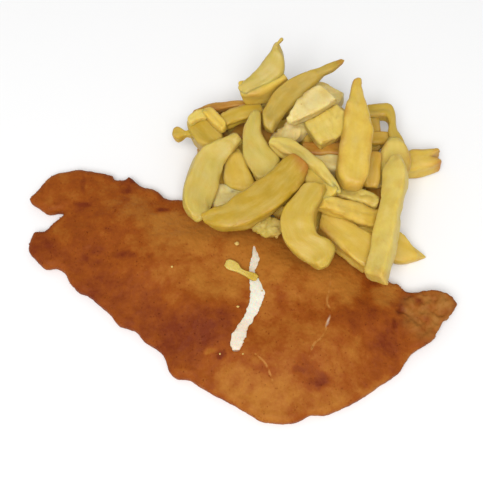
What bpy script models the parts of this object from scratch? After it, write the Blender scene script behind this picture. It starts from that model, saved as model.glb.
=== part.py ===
"""Fish and chips: a breadcrumbed fillet that lies flat, with a heap of thick-cut chips against its back edge.

Metres, +Z up, the front towards -Y. The origin is on the table, under the middle of the food.
Where things lie is read from a reference picture, in its pixels. Every size is the real one.
"""

import math
import random
from collections import namedtuple

import bmesh
import bpy
import numpy as np
from mathutils.geometry import delaunay_2d_cdt

MM = 0.001

# The reference picture is a square that looks down on the table from the front.
PICTURE_MIDDLE = 241.5
PICTURE_FOCAL = 950.0
VIEW_RISE = math.radians(62)
AIM = np.array((2.8, 2.8, 0.0)) * MM

# Driving sizes of the fillet. Its length, in metres and in pixels, sets the scale of everything.
FILLET_LENGTH = 240 * MM
FILLET_LENGTH_SEEN = 436.0
EYE_DISTANCE = PICTURE_FOCAL * FILLET_LENGTH / FILLET_LENGTH_SEEN
EDGE_MIDDLE = 3.0 * MM
EDGE_TOP = 6.5 * MM
EDGE_ROUND = 4.0 * MM
SWELL = 9.0 * MM
SWELL_REACH = 34 * MM
WAVE = 0.7 * MM
HEAD_LIFT = 4.0 * MM
HEAD_STEP = 1.6 * MM
CRAG = 1.3 * MM
CRAG_REACH = 23 * MM
CRACK_DEPTH = 2.2 * MM

# The fillet's outline in the picture, from the tip of the upper tail lobe along the back to the head,
# then along the front and up round the lower lobe to the notch.
OUTLINE_SEEN = (
    (30, 201), (38, 192), (49, 179), (61, 174), (80, 171), (100, 174), (112, 177), (116, 181), (125, 181),
    (130, 178), (141, 187), (157, 192), (167, 200), (181, 201), (205, 204), (235, 209), (280, 222),
    (320, 236), (350, 250), (374, 268), (390, 283), (397, 285), (405, 292), (414, 293), (423, 291),
    (439, 291), (450, 297), (455, 305), (450, 313), (441, 324), (436, 334), (430, 341), (414, 352),
    (406, 362), (399, 373), (382, 385), (363, 398), (338, 411), (325, 416), (311, 416), (298, 422),
    (282, 424), (262, 422), (248, 414), (223, 400), (206, 391), (190, 381), (177, 379), (169, 372),
    (164, 358), (157, 350), (143, 341), (135, 332), (118, 325), (110, 315), (97, 304), (87, 296),
    (79, 293), (70, 284), (65, 274), (57, 269), (45, 269), (36, 261), (29, 252), (31, 241), (35, 233),
    (45, 232), (54, 224), (63, 216), (60, 213), (48, 214), (38, 208),
)
TAIL_SEEN = (31, 226)
HEAD_SEEN = (455, 305)
CRAG_SEEN = (430, 315)
PIT_SEEN = (409, 316)

# The split in the crust, as seen: points along it, and its width there.
CRACK_SEEN = ((251, 246), (255, 259), (250, 272), (255, 284), (258, 297), (251, 312), (244, 326), (237, 349))
CRACK_WIDTHS = np.array((1.5, 4.4, 4.2, 6.5, 8.2, 5.0, 5.2, 6.5)) * MM

# Sizes that the mesh of the fillet is built at.
OUTLINE_PITCH = 3.6 * MM
TOP_PITCH = 4.5 * MM
UNDER_PITCH = 13 * MM
CRACK_PITCH = 3.0 * MM

# How the chips lie: they press a little into each other, and keep a gap to the fillet.
SINK = 1.7 * MM
GAP = 0.6 * MM
MOST_RISE = 24 * MM
SETTLE_ROUNDS = 120
START_LEVEL = 30 * MM
STEPS = 13
TOUCH_SHARE = 0.8
WIDTH_SHARES = (-1, -0.6, 0, 0.6, 1)
CLEAR = 1.0 * MM
PUSH = 3.2
PULL = 0.05

# A chip's cross-section, as shares of its half width and half thickness: a bar with broken corners.
SECTION = ((1, -0.5), (1, 0.5), (0.66, 1), (-0.66, 1), (-1, 0.5), (-1, -0.5), (-0.66, -1), (0.66, -1))
CUTS = (0.0, 0.07, 0.25, 0.5, 0.75, 0.93, 1.0)
END_SHARE = 0.72

# Where the heap stands, the chips inside it, and the plain mound that joins them.
HEAP_MIDDLE = np.array((30, 51.8)) * MM
HEAP_REACH = np.array((50, 42)) * MM
MOUND_REACH = np.array((68, 72)) * MM
MOUND_TOP = 45 * MM
MOUND_EDGE = 7 * MM
CORE_BELOW = 8 * MM
CORE_LEAST = 3 * MM
CORE_CLEAR = 3 * MM
CORE_TUCK = 0.88
CORE_FOOT = 1.0 * MM
BASE_RINGS = ((9, 0.8, 0.25), (5, 0.5, 0.4), (3, 0.2, 0.4))
BASE_SEED = 7

Chip = namedtuple("Chip", "name path widths thick turn rise level seen")


def chip(name, path, widths, thick, turn=0, rise=None, level=None):
    """A chip that shows: its middle line in the picture, its widths, its thickness, and how far it is turned
    about its own length. Where it doesn't just lie on the heap: its rise from end to end, and its level."""
    rise = None if rise is None else rise * MM
    level = None if level is None else level * MM
    path = np.array(path, float)
    return Chip(name, path, np.array(widths) * MM, thick * MM, math.radians(turn), rise, level, True)


# From the lowest to the topmost.
CHIPS = (
    chip("pale_under_left", ((216, 205), (246, 190)), (10, 10), 9, 0, 0),
    chip("pale_scrap", ((240, 208), (266, 228), (282, 237)), (10, 10, 8), 8, 0, -12),
    chip("golden_inner", ((234, 146), (238, 190)), (9, 16), 11, 0, 0),
    chip("olive_left", ((197, 118), (209, 132), (222, 147)), (14, 16, 14), 12, 0, 4),
    chip("left_nub", ((174, 137), (181, 134), (188, 134), (200, 136)), (7, 9, 4, 8), 8, 0, 2),
    chip("grey_under", ((308, 160), (350, 167)), (12, 12), 10, 0, 0),
    chip("brown_across", ((302, 151), (350, 152)), (8, 9), 9, 0, 0),
    chip("brown_edged", ((189, 114), (222, 107), (262, 105)), (9, 10, 9), 10, 0, 2),
    chip("tan_behind", ((222, 122), (262, 109)), (9, 9), 8, 0, 0),
    chip("left_sliver", ((206, 109), (215, 117), (228, 129)), (5, 6, 7), 6, 0, 2),
    chip("pale_back", ((304, 90), (323, 94), (341, 104)), (9, 11, 9), 10, 0, 2),
    chip("hollow_end", ((276, 147), (296, 131), (313, 119)), (12, 12, 11), 10, 0, 3, 27),
    chip("blocky", ((311, 139), (345, 113)), (15, 15), 12, 0, 2),
    chip("pale_wedge", ((286, 124), (308, 112), (336, 96)), (9, 13, 12), 10, 0, 6),
    chip("olive_behind", ((240, 103), (266, 96), (296, 80)), (8, 13, 10), 10, 0, 6),
    chip("top_wedge", ((241, 98), (256, 76), (270, 58), (278, 47), (281, 37)), (11, 16.5, 15, 5, 2.5), 9, 12, 20, 44),
    chip("small_right", ((374, 118), (377, 152)), (7, 7), 7, 0, -4),
    chip("arch_top", ((362, 115), (381, 112), (392, 119), (397, 142)), (8, 8.5, 7, 7), 7, 0, 2),
    chip("forked_right", ((392, 166), (416, 163), (439, 160)), (13, 15, 14), 12),
    chip("horn_right", ((370, 222), (401, 246), (425, 258)), (13, 15, 3), 10, 0, -9),
    chip("knuckle_right", ((399, 142), (387, 162), (376, 190)), (14, 15, 10), 12, 0, -8),
    chip("orange_rib", ((375, 152), (371, 188)), (8, 9), 8, 0, -4),
    chip("pale_middle", ((332, 192), (352, 196), (378, 203)), (9, 9, 8), 9, 0, 0),
    chip("low_slab", ((319, 217), (344, 240), (367, 263)), (15, 18, 14), 12),
    chip("under_slanted", ((296, 160), (314, 178), (331, 199)), (11, 13, 11), 10, 0, 0),
    chip("short_bar", ((317, 201), (348, 212), (380, 222)), (12, 13, 12), 11),
    chip("fat_elbow", ((308, 194), (301, 215), (300, 237), (311, 253), (331, 258)), (14, 19, 20, 18, 11), 13, 0, -8),
    chip("pale_upright", ((256, 113), (252, 136), (262, 158), (271, 180)), (7, 12, 20, 13), 10, 0, -6),
    chip("slanted", ((268, 140), (290, 149), (312, 162), (328, 180), (338, 192)), (8, 10, 11, 8, 3), 9, 0, -4),
    chip("broad_left", ((236, 130), (211, 157), (199, 183), (197, 203), (197, 221)), (9, 16, 17, 15, 5), 11, 0, -10),
    chip("banana", ((206, 220), (236, 217), (265, 200), (288, 178), (300, 161)), (12, 18, 19, 18, 13), 13, 0, 8),
    chip("long_spear", ((267, 131), (275, 109), (295, 91), (318, 75), (344, 60)), (7, 15, 15, 8, 2.5), 10, -18, 8),
    chip("upright", ((357, 80), (357, 100), (356, 130), (353, 160), (352, 190)), (5, 8, 15.5, 18, 11), 13, 0, -10),
    chip("long_right", ((395, 158), (393, 187), (388, 217), (383, 243), (378, 284)), (13, 16, 16.5, 17, 13), 13),
)

SCRAP_SEEN = ((226, 262), (240, 269), (255, 278))
SCRAP_WIDTHS = np.array((3.6, 2.4, 3.4)) * MM
SCRAP_THICK = 2.0 * MM


def seen_point(across, down, height):
    """Where the sight line through a pixel of the picture passes a height. Arrays work as well."""
    rise, run = math.sin(VIEW_RISE), math.cos(VIEW_RISE)
    right = np.asarray(across, float) - PICTURE_MIDDLE
    up = PICTURE_MIDDLE - np.asarray(down, float)
    ahead = PICTURE_FOCAL * run + up * rise
    fall = PICTURE_FOCAL * rise - up * run
    reach = (EYE_DISTANCE * rise - np.asarray(height, float)) / fall
    return AIM[0] + right * reach, AIM[1] - EYE_DISTANCE * run + ahead * reach


def smooth_line(points, shares, closed=False):
    """Points at these shares of the way along a smooth line through the given ones."""
    points = np.asarray(points, float)
    count = len(points)
    spans = count if closed else count - 1
    at = np.clip(np.asarray(shares, float), 0, 1) * spans
    first = np.minimum(at.astype(int), spans - 1)
    t = (at - first)[:, None]
    if closed:
        before, start, end, after = (points[(first + k) % count] for k in (-1, 0, 1, 2))
    else:
        before, start, end, after = (points[np.clip(first + k, 0, count - 1)] for k in (-1, 0, 1, 2))
    leave, arrive = (end - before) / 2, (after - start) / 2
    return (
        (2 * t**3 - 3 * t**2 + 1) * start
        + (t**3 - 2 * t**2 + t) * leave
        + (3 * t**2 - 2 * t**3) * end
        + (t**3 - t**2) * arrive
    )


def ease(share):
    """Runs smoothly from 0 to 1 as the share does."""
    share = np.clip(share, 0, 1)
    return share * share * (3 - 2 * share)


def evenly_spaced(line, pitch):
    """The closed line again, with its points this far apart."""
    steps = np.linalg.norm(np.roll(line, -1, axis=0) - line, axis=1)
    run = np.concatenate(([0], np.cumsum(steps)))
    count = round(run[-1] / pitch)
    at = np.arange(count) * run[-1] / count
    looped = np.vstack((line, line[:1]))
    return np.column_stack([np.interp(at, run, looped[:, k]) for k in (0, 1)])


def outline():
    """The fillet's outline in plan."""
    line = smooth_line(OUTLINE_SEEN, np.linspace(0, 1, 1200, endpoint=False), closed=True)
    return evenly_spaced(np.column_stack(seen_point(line[:, 0], line[:, 1], EDGE_MIDDLE)), OUTLINE_PITCH)


def line_distance(points, line, closed):
    """Each point's distance to a line, and how far along the line it is nearest, in points of the line."""
    ends = np.roll(line, -1, axis=0) if closed else line[1:]
    starts = line if closed else line[:-1]
    way = ends - starts
    offset = points[:, None, :] - starts[None]
    share = np.clip((offset * way).sum(2) / (way * way).sum(1), 0, 1)
    gaps = np.linalg.norm(offset - share[..., None] * way, axis=2)
    nearest = gaps.argmin(1)
    rows = np.arange(len(points))
    return gaps[rows, nearest], nearest + share[rows, nearest]


def inside(points, line):
    """Whether each point is inside a closed line."""
    x, y = points[:, None, 0], points[:, None, 1]
    here, there = line, np.roll(line, -1, axis=0)
    rise = there[:, 1] - here[:, 1]
    crosses = (here[:, 1] > y) != (there[:, 1] > y)
    where = here[:, 0] + (y - here[:, 1]) * (there[:, 0] - here[:, 0]) / np.where(rise == 0, 1, rise)
    return (crosses & (x < where)).sum(1) % 2 == 1


def depth_inside(points, line):
    """How far inside the closed line each point is, and less than 0 outside."""
    gap, _ = line_distance(points, line, closed=True)
    return np.where(inside(points, line), gap, -gap)


def swell_share(points, line):
    """0 at the fillet's edge and 1 in its thick middle, averaged over a ring so that no crease shows."""
    ring = 7 * MM
    total = np.zeros(len(points))
    turns = np.linspace(0, 2 * math.pi, 8, endpoint=False)
    for turn in turns:
        moved = points + ring * np.array((math.cos(turn), math.sin(turn)))
        total += np.clip(depth_inside(moved, line), 0, SWELL_REACH)
    return ease(total / len(turns) / SWELL_REACH)


def near(points, seen, reach):
    """1 at a place given by its pixel, easing to 0 at the reach."""
    middle = np.array(seen_point(*seen, EDGE_TOP))
    return ease(1 - np.linalg.norm(points - middle, axis=1) / reach)


def along_fillet(points):
    """0 at the tail and 1 at the head."""
    tail = np.array(seen_point(*TAIL_SEEN, EDGE_MIDDLE))
    head = np.array(seen_point(*HEAD_SEEN, EDGE_MIDDLE))
    way = head - tail
    return (points - tail) @ way / (way @ way)


def lift(points):
    """How far the fillet's head end curls up off the table."""
    return HEAD_LIFT * ease((along_fillet(points) - 0.86) / 0.14)


def crack_line():
    line = np.array(CRACK_SEEN, float)
    return np.column_stack(seen_point(line[:, 0], line[:, 1], EDGE_TOP + SWELL))


def waves(points):
    """The slow rise and fall of the fried crust."""
    x, y = points[:, 0] / MM, points[:, 1] / MM
    return WAVE * (np.sin(0.11 * x + 0.05 * y) + np.sin(0.16 * y - 0.07 * x + 1.3) + 0.6 * np.sin(0.23 * x + 2.1))


def crags(points):
    """The rough flap at the head end, which lies a step lower, with a pit where it folds."""
    x, y = points[:, 0] / MM, points[:, 1] / MM
    rough = np.sin(0.75 * x + 0.5 * y) * np.sin(0.7 * y - 0.35 * x + 0.8) + 0.5 * np.sin(1.1 * x - 0.6 * y)
    flap = near(points, CRAG_SEEN, CRAG_REACH)
    return flap * (CRAG * rough - HEAD_STEP) - 2.0 * MM * near(points, PIT_SEEN, 6 * MM)


def crust_top(points, line):
    """Height of the fillet's top, without the crack."""
    share = np.clip(depth_inside(points, line) / EDGE_ROUND, 0, 1)
    rim = EDGE_MIDDLE + (EDGE_TOP - EDGE_MIDDLE) * np.sqrt(1 - (1 - share) ** 2)
    swollen = swell_share(points, line)
    fullness = 0.45 + 0.55 * ease(along_fillet(points) / 0.4)
    relief = SWELL * fullness * swollen + swollen * waves(points) + ease(share) * crags(points)
    return rim + relief + lift(points)


def crack_cut(points):
    """How deep the crack is at each point."""
    gap, where = line_distance(points, crack_line(), closed=False)
    half = np.interp(where, np.arange(len(CRACK_WIDTHS)), CRACK_WIDTHS) / 2
    return CRACK_DEPTH * ease(1.25 * (1 - gap / half))


def grid_inside(line, pitch, margin):
    """A staggered grid of points that lie at least the margin inside the line."""
    low, high = line.min(0), line.max(0)
    rows = np.arange(low[1], high[1], pitch * math.sqrt(3) / 2)
    spots = [(x + pitch / 2 * (k % 2), y) for k, y in enumerate(rows) for x in np.arange(low[0], high[0], pitch)]
    spots = np.array(spots)
    return spots[depth_inside(spots, line) > margin]


def inset_ring(line, inset):
    """Points this far inside the outline, left out where a notch crowds them."""
    way = np.roll(line, -1, axis=0) - np.roll(line, 1, axis=0)
    inward = np.column_stack((way[:, 1], -way[:, 0])) / np.linalg.norm(way, axis=1)[:, None]
    ring = line + inward * inset
    return ring[depth_inside(ring, line) > 0.85 * inset]


def crack_points():
    """Points along the crack's floor and both its lips."""
    middle = crack_line()
    run = np.linalg.norm(np.diff(middle, axis=0), axis=1).sum()
    shares = np.linspace(0, 1, round(run / CRACK_PITCH))
    path = smooth_line(middle, shares)
    half = np.interp(shares * (len(middle) - 1), np.arange(len(middle)), CRACK_WIDTHS) / 2
    way = np.gradient(path, axis=0)
    side = np.column_stack((way[:, 1], -way[:, 0])) / np.linalg.norm(way, axis=1)[:, None]
    floor = path[1:-1]
    lips = [path + side * (half * sign)[:, None] for sign in (-1, 1)]
    return np.vstack([floor] + lips)


def filled(line, spots):
    """The area inside the line as triangles over its own points and the spots: points, then faces."""
    points = np.vstack((line, spots))
    loop = [(k, (k + 1) % len(line)) for k in range(len(line))]
    made = delaunay_2d_cdt([tuple(p) for p in points.tolist()], loop, [list(range(len(line)))], 1, 1e-7)
    source = [found[0] for found in made[3]]
    faces = [[source[k] for k in face] for face in made[2]]
    return points, faces


def faces_up(points, faces):
    """The triangles, each turned so that it faces up."""
    turned = []
    for a, b, c in faces:
        (ax, ay), (bx, by), (cx, cy) = points[a], points[b], points[c]
        turned.append((a, b, c) if (bx - ax) * (cy - ay) > (by - ay) * (cx - ax) else (a, c, b))
    return turned


def fillet_mesh():
    """The fillet: a domed top and a flat underside that share the outline's ring of points."""
    line = outline()
    crack = crack_points()
    grid = grid_inside(line, TOP_PITCH, 5.0 * MM)
    off_crack, where = line_distance(grid, crack_line(), closed=False)
    half = np.interp(where, np.arange(len(CRACK_WIDTHS)), CRACK_WIDTHS) / 2
    grid = grid[off_crack > half + 2.0 * MM]
    top_spots = np.vstack((inset_ring(line, 1.0 * MM), inset_ring(line, 3.2 * MM), grid, crack))
    under_spots = np.vstack((inset_ring(line, 1.8 * MM), grid_inside(line, UNDER_PITCH, 7 * MM)))
    top, top_faces = filled(line, top_spots)
    under, under_faces = filled(line, under_spots)
    ring = len(line)
    heights = crust_top(top, line) - crack_cut(top)
    heights[:ring] = EDGE_MIDDLE + lift(line)
    points = np.vstack((np.column_stack((top, heights)), np.column_stack((under[ring:], lift(under[ring:])))))
    faces = faces_up(top, top_faces)
    shift = len(top) - ring
    for a, b, c in faces_up(under, under_faces):
        faces.append([k if k < ring else k + shift for k in (a, c, b)])
    return points, faces


class Ground:
    """Heights of what the next chip can lie on: the table and the fillet, which are firm, and the chips."""

    CELL = 1 * MM
    LOW = np.array((-90, -90)) * MM
    SIZE = (260, 260)

    def __init__(self):
        line = outline()
        columns, rows = np.meshgrid(*(np.arange(n) for n in self.SIZE), indexing="ij")
        spots = self.LOW + np.column_stack((columns.ravel(), rows.ravel())) * self.CELL
        depth = depth_inside(spots, line)
        over = depth > -self.CELL
        firm = np.zeros(len(spots))
        firm[over] = np.maximum(crust_top(spots[over], line), EDGE_TOP) + GAP
        self.firm = firm.reshape(self.SIZE)
        self.chips = np.full(self.SIZE, -1.0)

    def cells(self, points):
        found = np.round((points - self.LOW) / self.CELL).astype(int)
        return tuple(np.clip(found[..., k], 0, self.SIZE[k] - 1) for k in (0, 1))

    def cover(self, points, heights):
        np.maximum.at(self.chips, self.cells(points), heights)

    def under_chips(self, point):
        """A height inside the chips that lie over a point."""
        column, row = self.cells(point)
        patch = self.chips[column - 4 : column + 5, row - 4 : row + 5]
        lain = patch[patch > 0]
        return max(CORE_LEAST, (lain.min() if len(lain) else 0.0) - CORE_BELOW)


def half_sizes(item, along):
    """Half the width and half the height of a chip as it lies, turned about its own length."""
    wide = np.interp(along, np.linspace(0, 1, len(item.widths)), item.widths) / 2
    tall = np.minimum(item.thick / 2, wide * 1.05)
    level, tipped = math.cos(item.turn), math.sin(item.turn)
    return np.hypot(wide * level, tall * tipped), np.hypot(tall * level, wide * tipped)


def plan_of(item, line, heights):
    """Where the chip's middle line lies in plan at these heights."""
    if not item.seen:
        return line
    return np.column_stack(seen_point(line[:, 0], line[:, 1], heights))


def sideways(plan):
    way = np.gradient(plan, axis=0)
    return np.column_stack((way[:, 1], -way[:, 0])) / np.linalg.norm(way, axis=1)[:, None]


def mound(plan):
    """Height that the middle of a chip on top of the heap would have."""
    out = np.linalg.norm((plan - HEAP_MIDDLE) / MOUND_REACH, axis=1)
    return MOUND_EDGE + (MOUND_TOP - MOUND_EDGE) * ease(1 - out)


class Pile:
    """All the chips as straight bars that only rise, sink and tilt while they settle."""

    def __init__(self, items, ground):
        self.items, self.ground = items, ground
        self.along = np.linspace(0, 1, STEPS)
        self.lines = [smooth_line(item.path, self.along) for item in items]
        sizes = [half_sizes(item, self.along) for item in items]
        self.wide = np.array([size[0] for size in sizes])
        self.tall = np.array([size[1] for size in sizes])
        self.rises = np.array([np.nan if item.rise is None else item.rise for item in items])
        self.levels = np.array([[np.nan if item.level is None else item.level] for item in items])
        rank = np.repeat(np.arange(len(items)), STEPS)
        self.upper = rank[:, None] > rank[None, :]
        reach = self.wide.ravel()
        self.reach = TOUCH_SHARE * (reach[:, None] + reach[None])
        self.ends = np.where(np.isnan(self.levels), START_LEVEL, self.levels) * np.ones((1, 2))

    def heights(self):
        return self.ends[:, :1] * (1 - self.along) + self.ends[:, 1:] * self.along

    def spots(self, heights):
        return np.array([plan_of(*each) for each in zip(self.items, self.lines, heights)])

    def supports(self, heights):
        """How high each step of each chip has to be for the table, the fillet, and the chips under it."""
        spots = self.spots(heights)
        side = np.array([sideways(plan) for plan in spots]) * (self.wide[:, :, None] + CLEAR)
        firm = np.max([self.ground.firm[self.ground.cells(spots + share * side)] for share in WIDTH_SHARES], axis=0)
        firm = firm + self.tall
        flat = spots.reshape(-1, 2)
        touch = np.linalg.norm(flat[:, None] - flat[None], axis=2) < self.reach
        tops = (heights + self.tall).ravel() - SINK
        need = np.where(touch & self.upper, tops[None] + self.tall.ravel()[:, None], -1.0)
        return spots, firm, need

    def move_ends(self, start, stop):
        """Moves both ends, as far as the chip's own tilt allows."""
        self.ends = self.ends + np.column_stack((start, stop))
        middle = self.ends.mean(1)
        tilt = self.ends[:, 1] - self.ends[:, 0]
        tilt = np.where(np.isnan(self.rises), np.clip(tilt, -MOST_RISE, MOST_RISE), self.rises)
        self.ends = np.column_stack((middle - tilt / 2, middle + tilt / 2))

    def settle(self):
        shape = self.wide.shape
        for turn in range(SETTLE_ROUNDS):
            heights = self.heights()
            spots, firm, need = self.supports(heights)
            overlap = np.maximum(need - heights.ravel()[:, None], 0)
            push = (overlap.max(1) - overlap.max(0)).reshape(shape) / 2
            wanted = np.where(np.isnan(self.levels), mound(spots.reshape(-1, 2)).reshape(shape), self.levels)
            push = PUSH * (push + PULL * (wanted - heights))
            self.move_ends((push * (1 - self.along)).mean(1), (push * self.along).mean(1))
            short = np.maximum(firm - self.heights(), 0)
            self.move_ends((short * (1 - self.along)).max(1), (short * self.along).max(1))
            self.ends = self.ends + np.maximum(firm - self.heights(), 0).max(1)[:, None]
        for k in range(len(self.items)):
            heights = self.heights()
            _, firm, need = self.supports(heights)
            least = np.maximum(firm, need.max(1).reshape(shape))
            self.ends[k] += min(0.0, (least - heights)[k].max())


def settled(items, ground):
    """Middle lines of all the chips once they lie on what is firm and on each other, from the lowest item up."""
    pile = Pile(items, ground)
    pile.settle()
    heights = pile.heights()
    settled_lines = []
    fine = np.linspace(0, 1, 150)
    for item, plan, level in zip(items, pile.spots(heights), heights):
        spots = np.column_stack([np.interp(fine, pile.along, plan[:, k]) for k in (0, 1)])
        half_wide, half_tall = half_sizes(item, fine)
        side = sideways(spots)
        for across in np.linspace(-0.8, 0.8, 27):
            cover = np.interp(fine, pile.along, level) + half_tall
            ground.cover(spots + side * (across * half_wide)[:, None], cover)
        settled_lines.append(np.column_stack((plan, level)))
    return settled_lines


def base_chips():
    """Chips inside the heap that carry the ones that show, in rings, each turned its own way."""
    draw = random.Random(BASE_SEED)
    made = []
    for ring, (count, out, spread) in enumerate(BASE_RINGS):
        for k in range(count):
            turn = 2 * math.pi * (k + 0.5 * ring + draw.uniform(-0.15, 0.15)) / count
            middle = HEAP_MIDDLE + HEAP_REACH * out * np.array((math.cos(turn), math.sin(turn)))
            heading = turn + math.pi / 2 + draw.uniform(-spread, spread)
            half = draw.uniform(15, 19) * MM * np.array((math.cos(heading), math.sin(heading)))
            bow = draw.uniform(-3, 3) * MM * np.array((-math.sin(heading), math.cos(heading)))
            path = np.array((middle - half, middle + bow, middle + half))
            width = draw.uniform(12, 15)
            widths = np.array((width - 2, width, width, width - draw.uniform(1, 5))) * MM
            thick = draw.uniform(10, 12) * MM
            made.append(Chip(f"base_{ring}_{k}", path, widths, thick, 0.0, None, 0.0, False))
    return made


def lofted(rings, name):
    """An object whose surface runs through the rings, with flat ends."""
    mesh = bmesh.new()
    loops = [[mesh.verts.new(p) for p in ring] for ring in rings]
    for here, there in zip(loops, loops[1:]):
        for k in range(len(here)):
            after = (k + 1) % len(here)
            mesh.faces.new((here[k], here[after], there[after], there[k]))
    mesh.faces.new(list(reversed(loops[0])))
    mesh.faces.new(loops[-1])
    bmesh.ops.recalc_face_normals(mesh, faces=mesh.faces)
    data = bpy.data.meshes.new(name)
    mesh.to_mesh(data)
    mesh.free()
    return bpy.data.objects.new(name, data)


def bar_object(name, middle_line, widths, thick, turn):
    """A bar along a line, with a chip's cross-section and ends that draw in."""
    along = np.linspace(0, 1, len(middle_line))
    cuts = np.array(CUTS)
    path = np.column_stack([np.interp(cuts, along, middle_line[:, k]) for k in range(3)])
    wide = np.interp(cuts, np.linspace(0, 1, len(widths)), widths) / 2
    tall = np.minimum(thick / 2, wide * 1.05)
    way = np.gradient(path, axis=0)
    way /= np.linalg.norm(way, axis=1)[:, None]
    side = np.cross(way, (0, 0, 1))
    side /= np.linalg.norm(side, axis=1)[:, None]
    up = np.cross(side, way)
    rings = []
    for k, spot in enumerate(path):
        share = END_SHARE if k in (0, len(path) - 1) else 1.0
        out = side[k] * math.cos(turn) + up[k] * math.sin(turn)
        over = up[k] * math.cos(turn) - side[k] * math.sin(turn)
        rings.append([spot + share * (a * wide[k] * out + b * tall[k] * over) for a, b in SECTION])
    return lofted(rings, name)


def core_object(ground):
    """The plain mound that joins the chips from inside: it stays below them, off the table and off the fillet."""
    line = outline()
    directions = np.linspace(0, 2 * math.pi, 24, endpoint=False)
    covered = ground.chips > CORE_BELOW
    reaches = []
    for turn in directions:
        way = HEAP_REACH * np.array((math.cos(turn), math.sin(turn)))
        shares = np.linspace(1, 0.2, 60)
        spots = HEAP_MIDDLE + shares[:, None] * way
        good = covered[ground.cells(spots)] & (depth_inside(spots, line) < -CORE_CLEAR)
        reaches.append(CORE_TUCK * shares[good.argmax()] * way)
    reaches = np.array(reaches)
    rings = []
    for share in (0.94, 1.0, 0.8, 0.6, 0.4, 0.2, 0.05):
        plan = HEAP_MIDDLE + reaches * share
        level = np.array([ground.under_chips(spot) for spot in plan])
        if share == 1.0:
            level = np.full(len(plan), CORE_LEAST)
        if not rings:
            level = np.full(len(plan), CORE_FOOT)
        rings.append(np.column_stack((plan, level)))
    return lofted(rings, "core")


def keep_largest_shell(mesh):
    """Drops loose scraps, and the skins of hollows that fusing sealed."""
    shells, left = [], set(mesh.faces)
    while left:
        shell, queue = [], [left.pop()]
        while queue:
            face = queue.pop()
            shell.append(face)
            for edge in face.edges:
                for other in edge.link_faces:
                    if other in left:
                        left.remove(other)
                        queue.append(other)
        shells.append(shell)
    shells.sort(key=len)
    bmesh.ops.delete(mesh, geom=[f for shell in shells[:-1] for f in shell], context="FACES")


def heap_object():
    """The chips and the core as one solid."""
    ground = Ground()
    pieces = bpy.data.collections.new("pieces")
    bpy.context.scene.collection.children.link(pieces)
    items = [*base_chips(), *CHIPS]
    for item, middle_line in zip(items, settled(items, ground)):
        pieces.objects.link(bar_object(item.name, middle_line, item.widths, item.thick, item.turn))
    heap = core_object(ground)
    bpy.context.scene.collection.objects.link(heap)
    union = heap.modifiers.new("fuse", "BOOLEAN")
    union.operation, union.operand_type, union.collection, union.solver = "UNION", "COLLECTION", pieces, "EXACT"
    bpy.context.view_layer.update()
    fused = bpy.data.meshes.new_from_object(heap.evaluated_get(bpy.context.evaluated_depsgraph_get()))
    heap.modifiers.clear()
    for piece in list(pieces.objects):
        bpy.data.objects.remove(piece)
    bpy.data.collections.remove(pieces)
    mesh = bmesh.new()
    mesh.from_mesh(fused)
    bmesh.ops.triangulate(mesh, faces=mesh.faces)
    bmesh.ops.remove_doubles(mesh, verts=mesh.verts, dist=0.02 * MM)
    bmesh.ops.dissolve_degenerate(mesh, edges=mesh.edges, dist=0.01 * MM)
    bmesh.ops.triangulate(mesh, faces=mesh.faces)
    keep_largest_shell(mesh)
    mesh.to_mesh(fused)
    mesh.free()
    heap.data, heap.name = fused, "chips"
    return heap


def fillet_object():
    points, faces = fillet_mesh()
    data = bpy.data.meshes.new("fish")
    data.from_pydata(points.tolist(), [], faces)
    data.shade_smooth()
    fillet = bpy.data.objects.new("fish", data)
    bpy.context.scene.collection.objects.link(fillet)
    return fillet


def scrap_object():
    """A sliver of chip that lies across the crack."""
    seen = smooth_line(SCRAP_SEEN, np.linspace(0, 1, STEPS))
    plan = np.column_stack(seen_point(seen[:, 0], seen[:, 1], EDGE_TOP + SWELL))
    heights = crust_top(plan, outline()) + SCRAP_THICK / 2 + GAP
    middle_line = np.column_stack((plan, heights))
    scrap = bar_object("chip_scrap", middle_line, SCRAP_WIDTHS, SCRAP_THICK, 0.0)
    bpy.context.scene.collection.objects.link(scrap)
    return scrap


def finish_material(name, colour, roughness):
    """A plain Principled material, its colour given as linear RGB."""
    material = bpy.data.materials.new(name)
    material.use_nodes = True
    shader = material.node_tree.nodes["Principled BSDF"]
    shader.inputs["Base Color"].default_value = (*colour, 1)
    shader.inputs["Roughness"].default_value = roughness
    shader.inputs["Metallic"].default_value = 0.0
    return material


def main():
    for old in list(bpy.data.objects):
        bpy.data.objects.remove(old)
    crust = finish_material("fried_crumb", (0.36, 0.11, 0.02), 0.55)
    potato = finish_material("fried_potato", (0.66, 0.45, 0.12), 0.5)
    fillet_object().data.materials.append(crust)
    heap_object().data.materials.append(potato)
    scrap_object().data.materials.append(potato)


main()
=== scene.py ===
"""The looks of fish and chips: a breadcrumbed fillet with a split crust, and a heap of thick-cut chips.

Metres, +Z up, the front towards -Y, in the frame of the CAD model, which is loaded and never moved.
Where things lie is read from the reference picture, in its pixels. Every size is the real one.
"""

import math
import random
from types import SimpleNamespace

import bmesh
import bpy
import numpy as np
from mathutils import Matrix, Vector, noise
from mathutils.geometry import delaunay_2d_cdt


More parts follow.
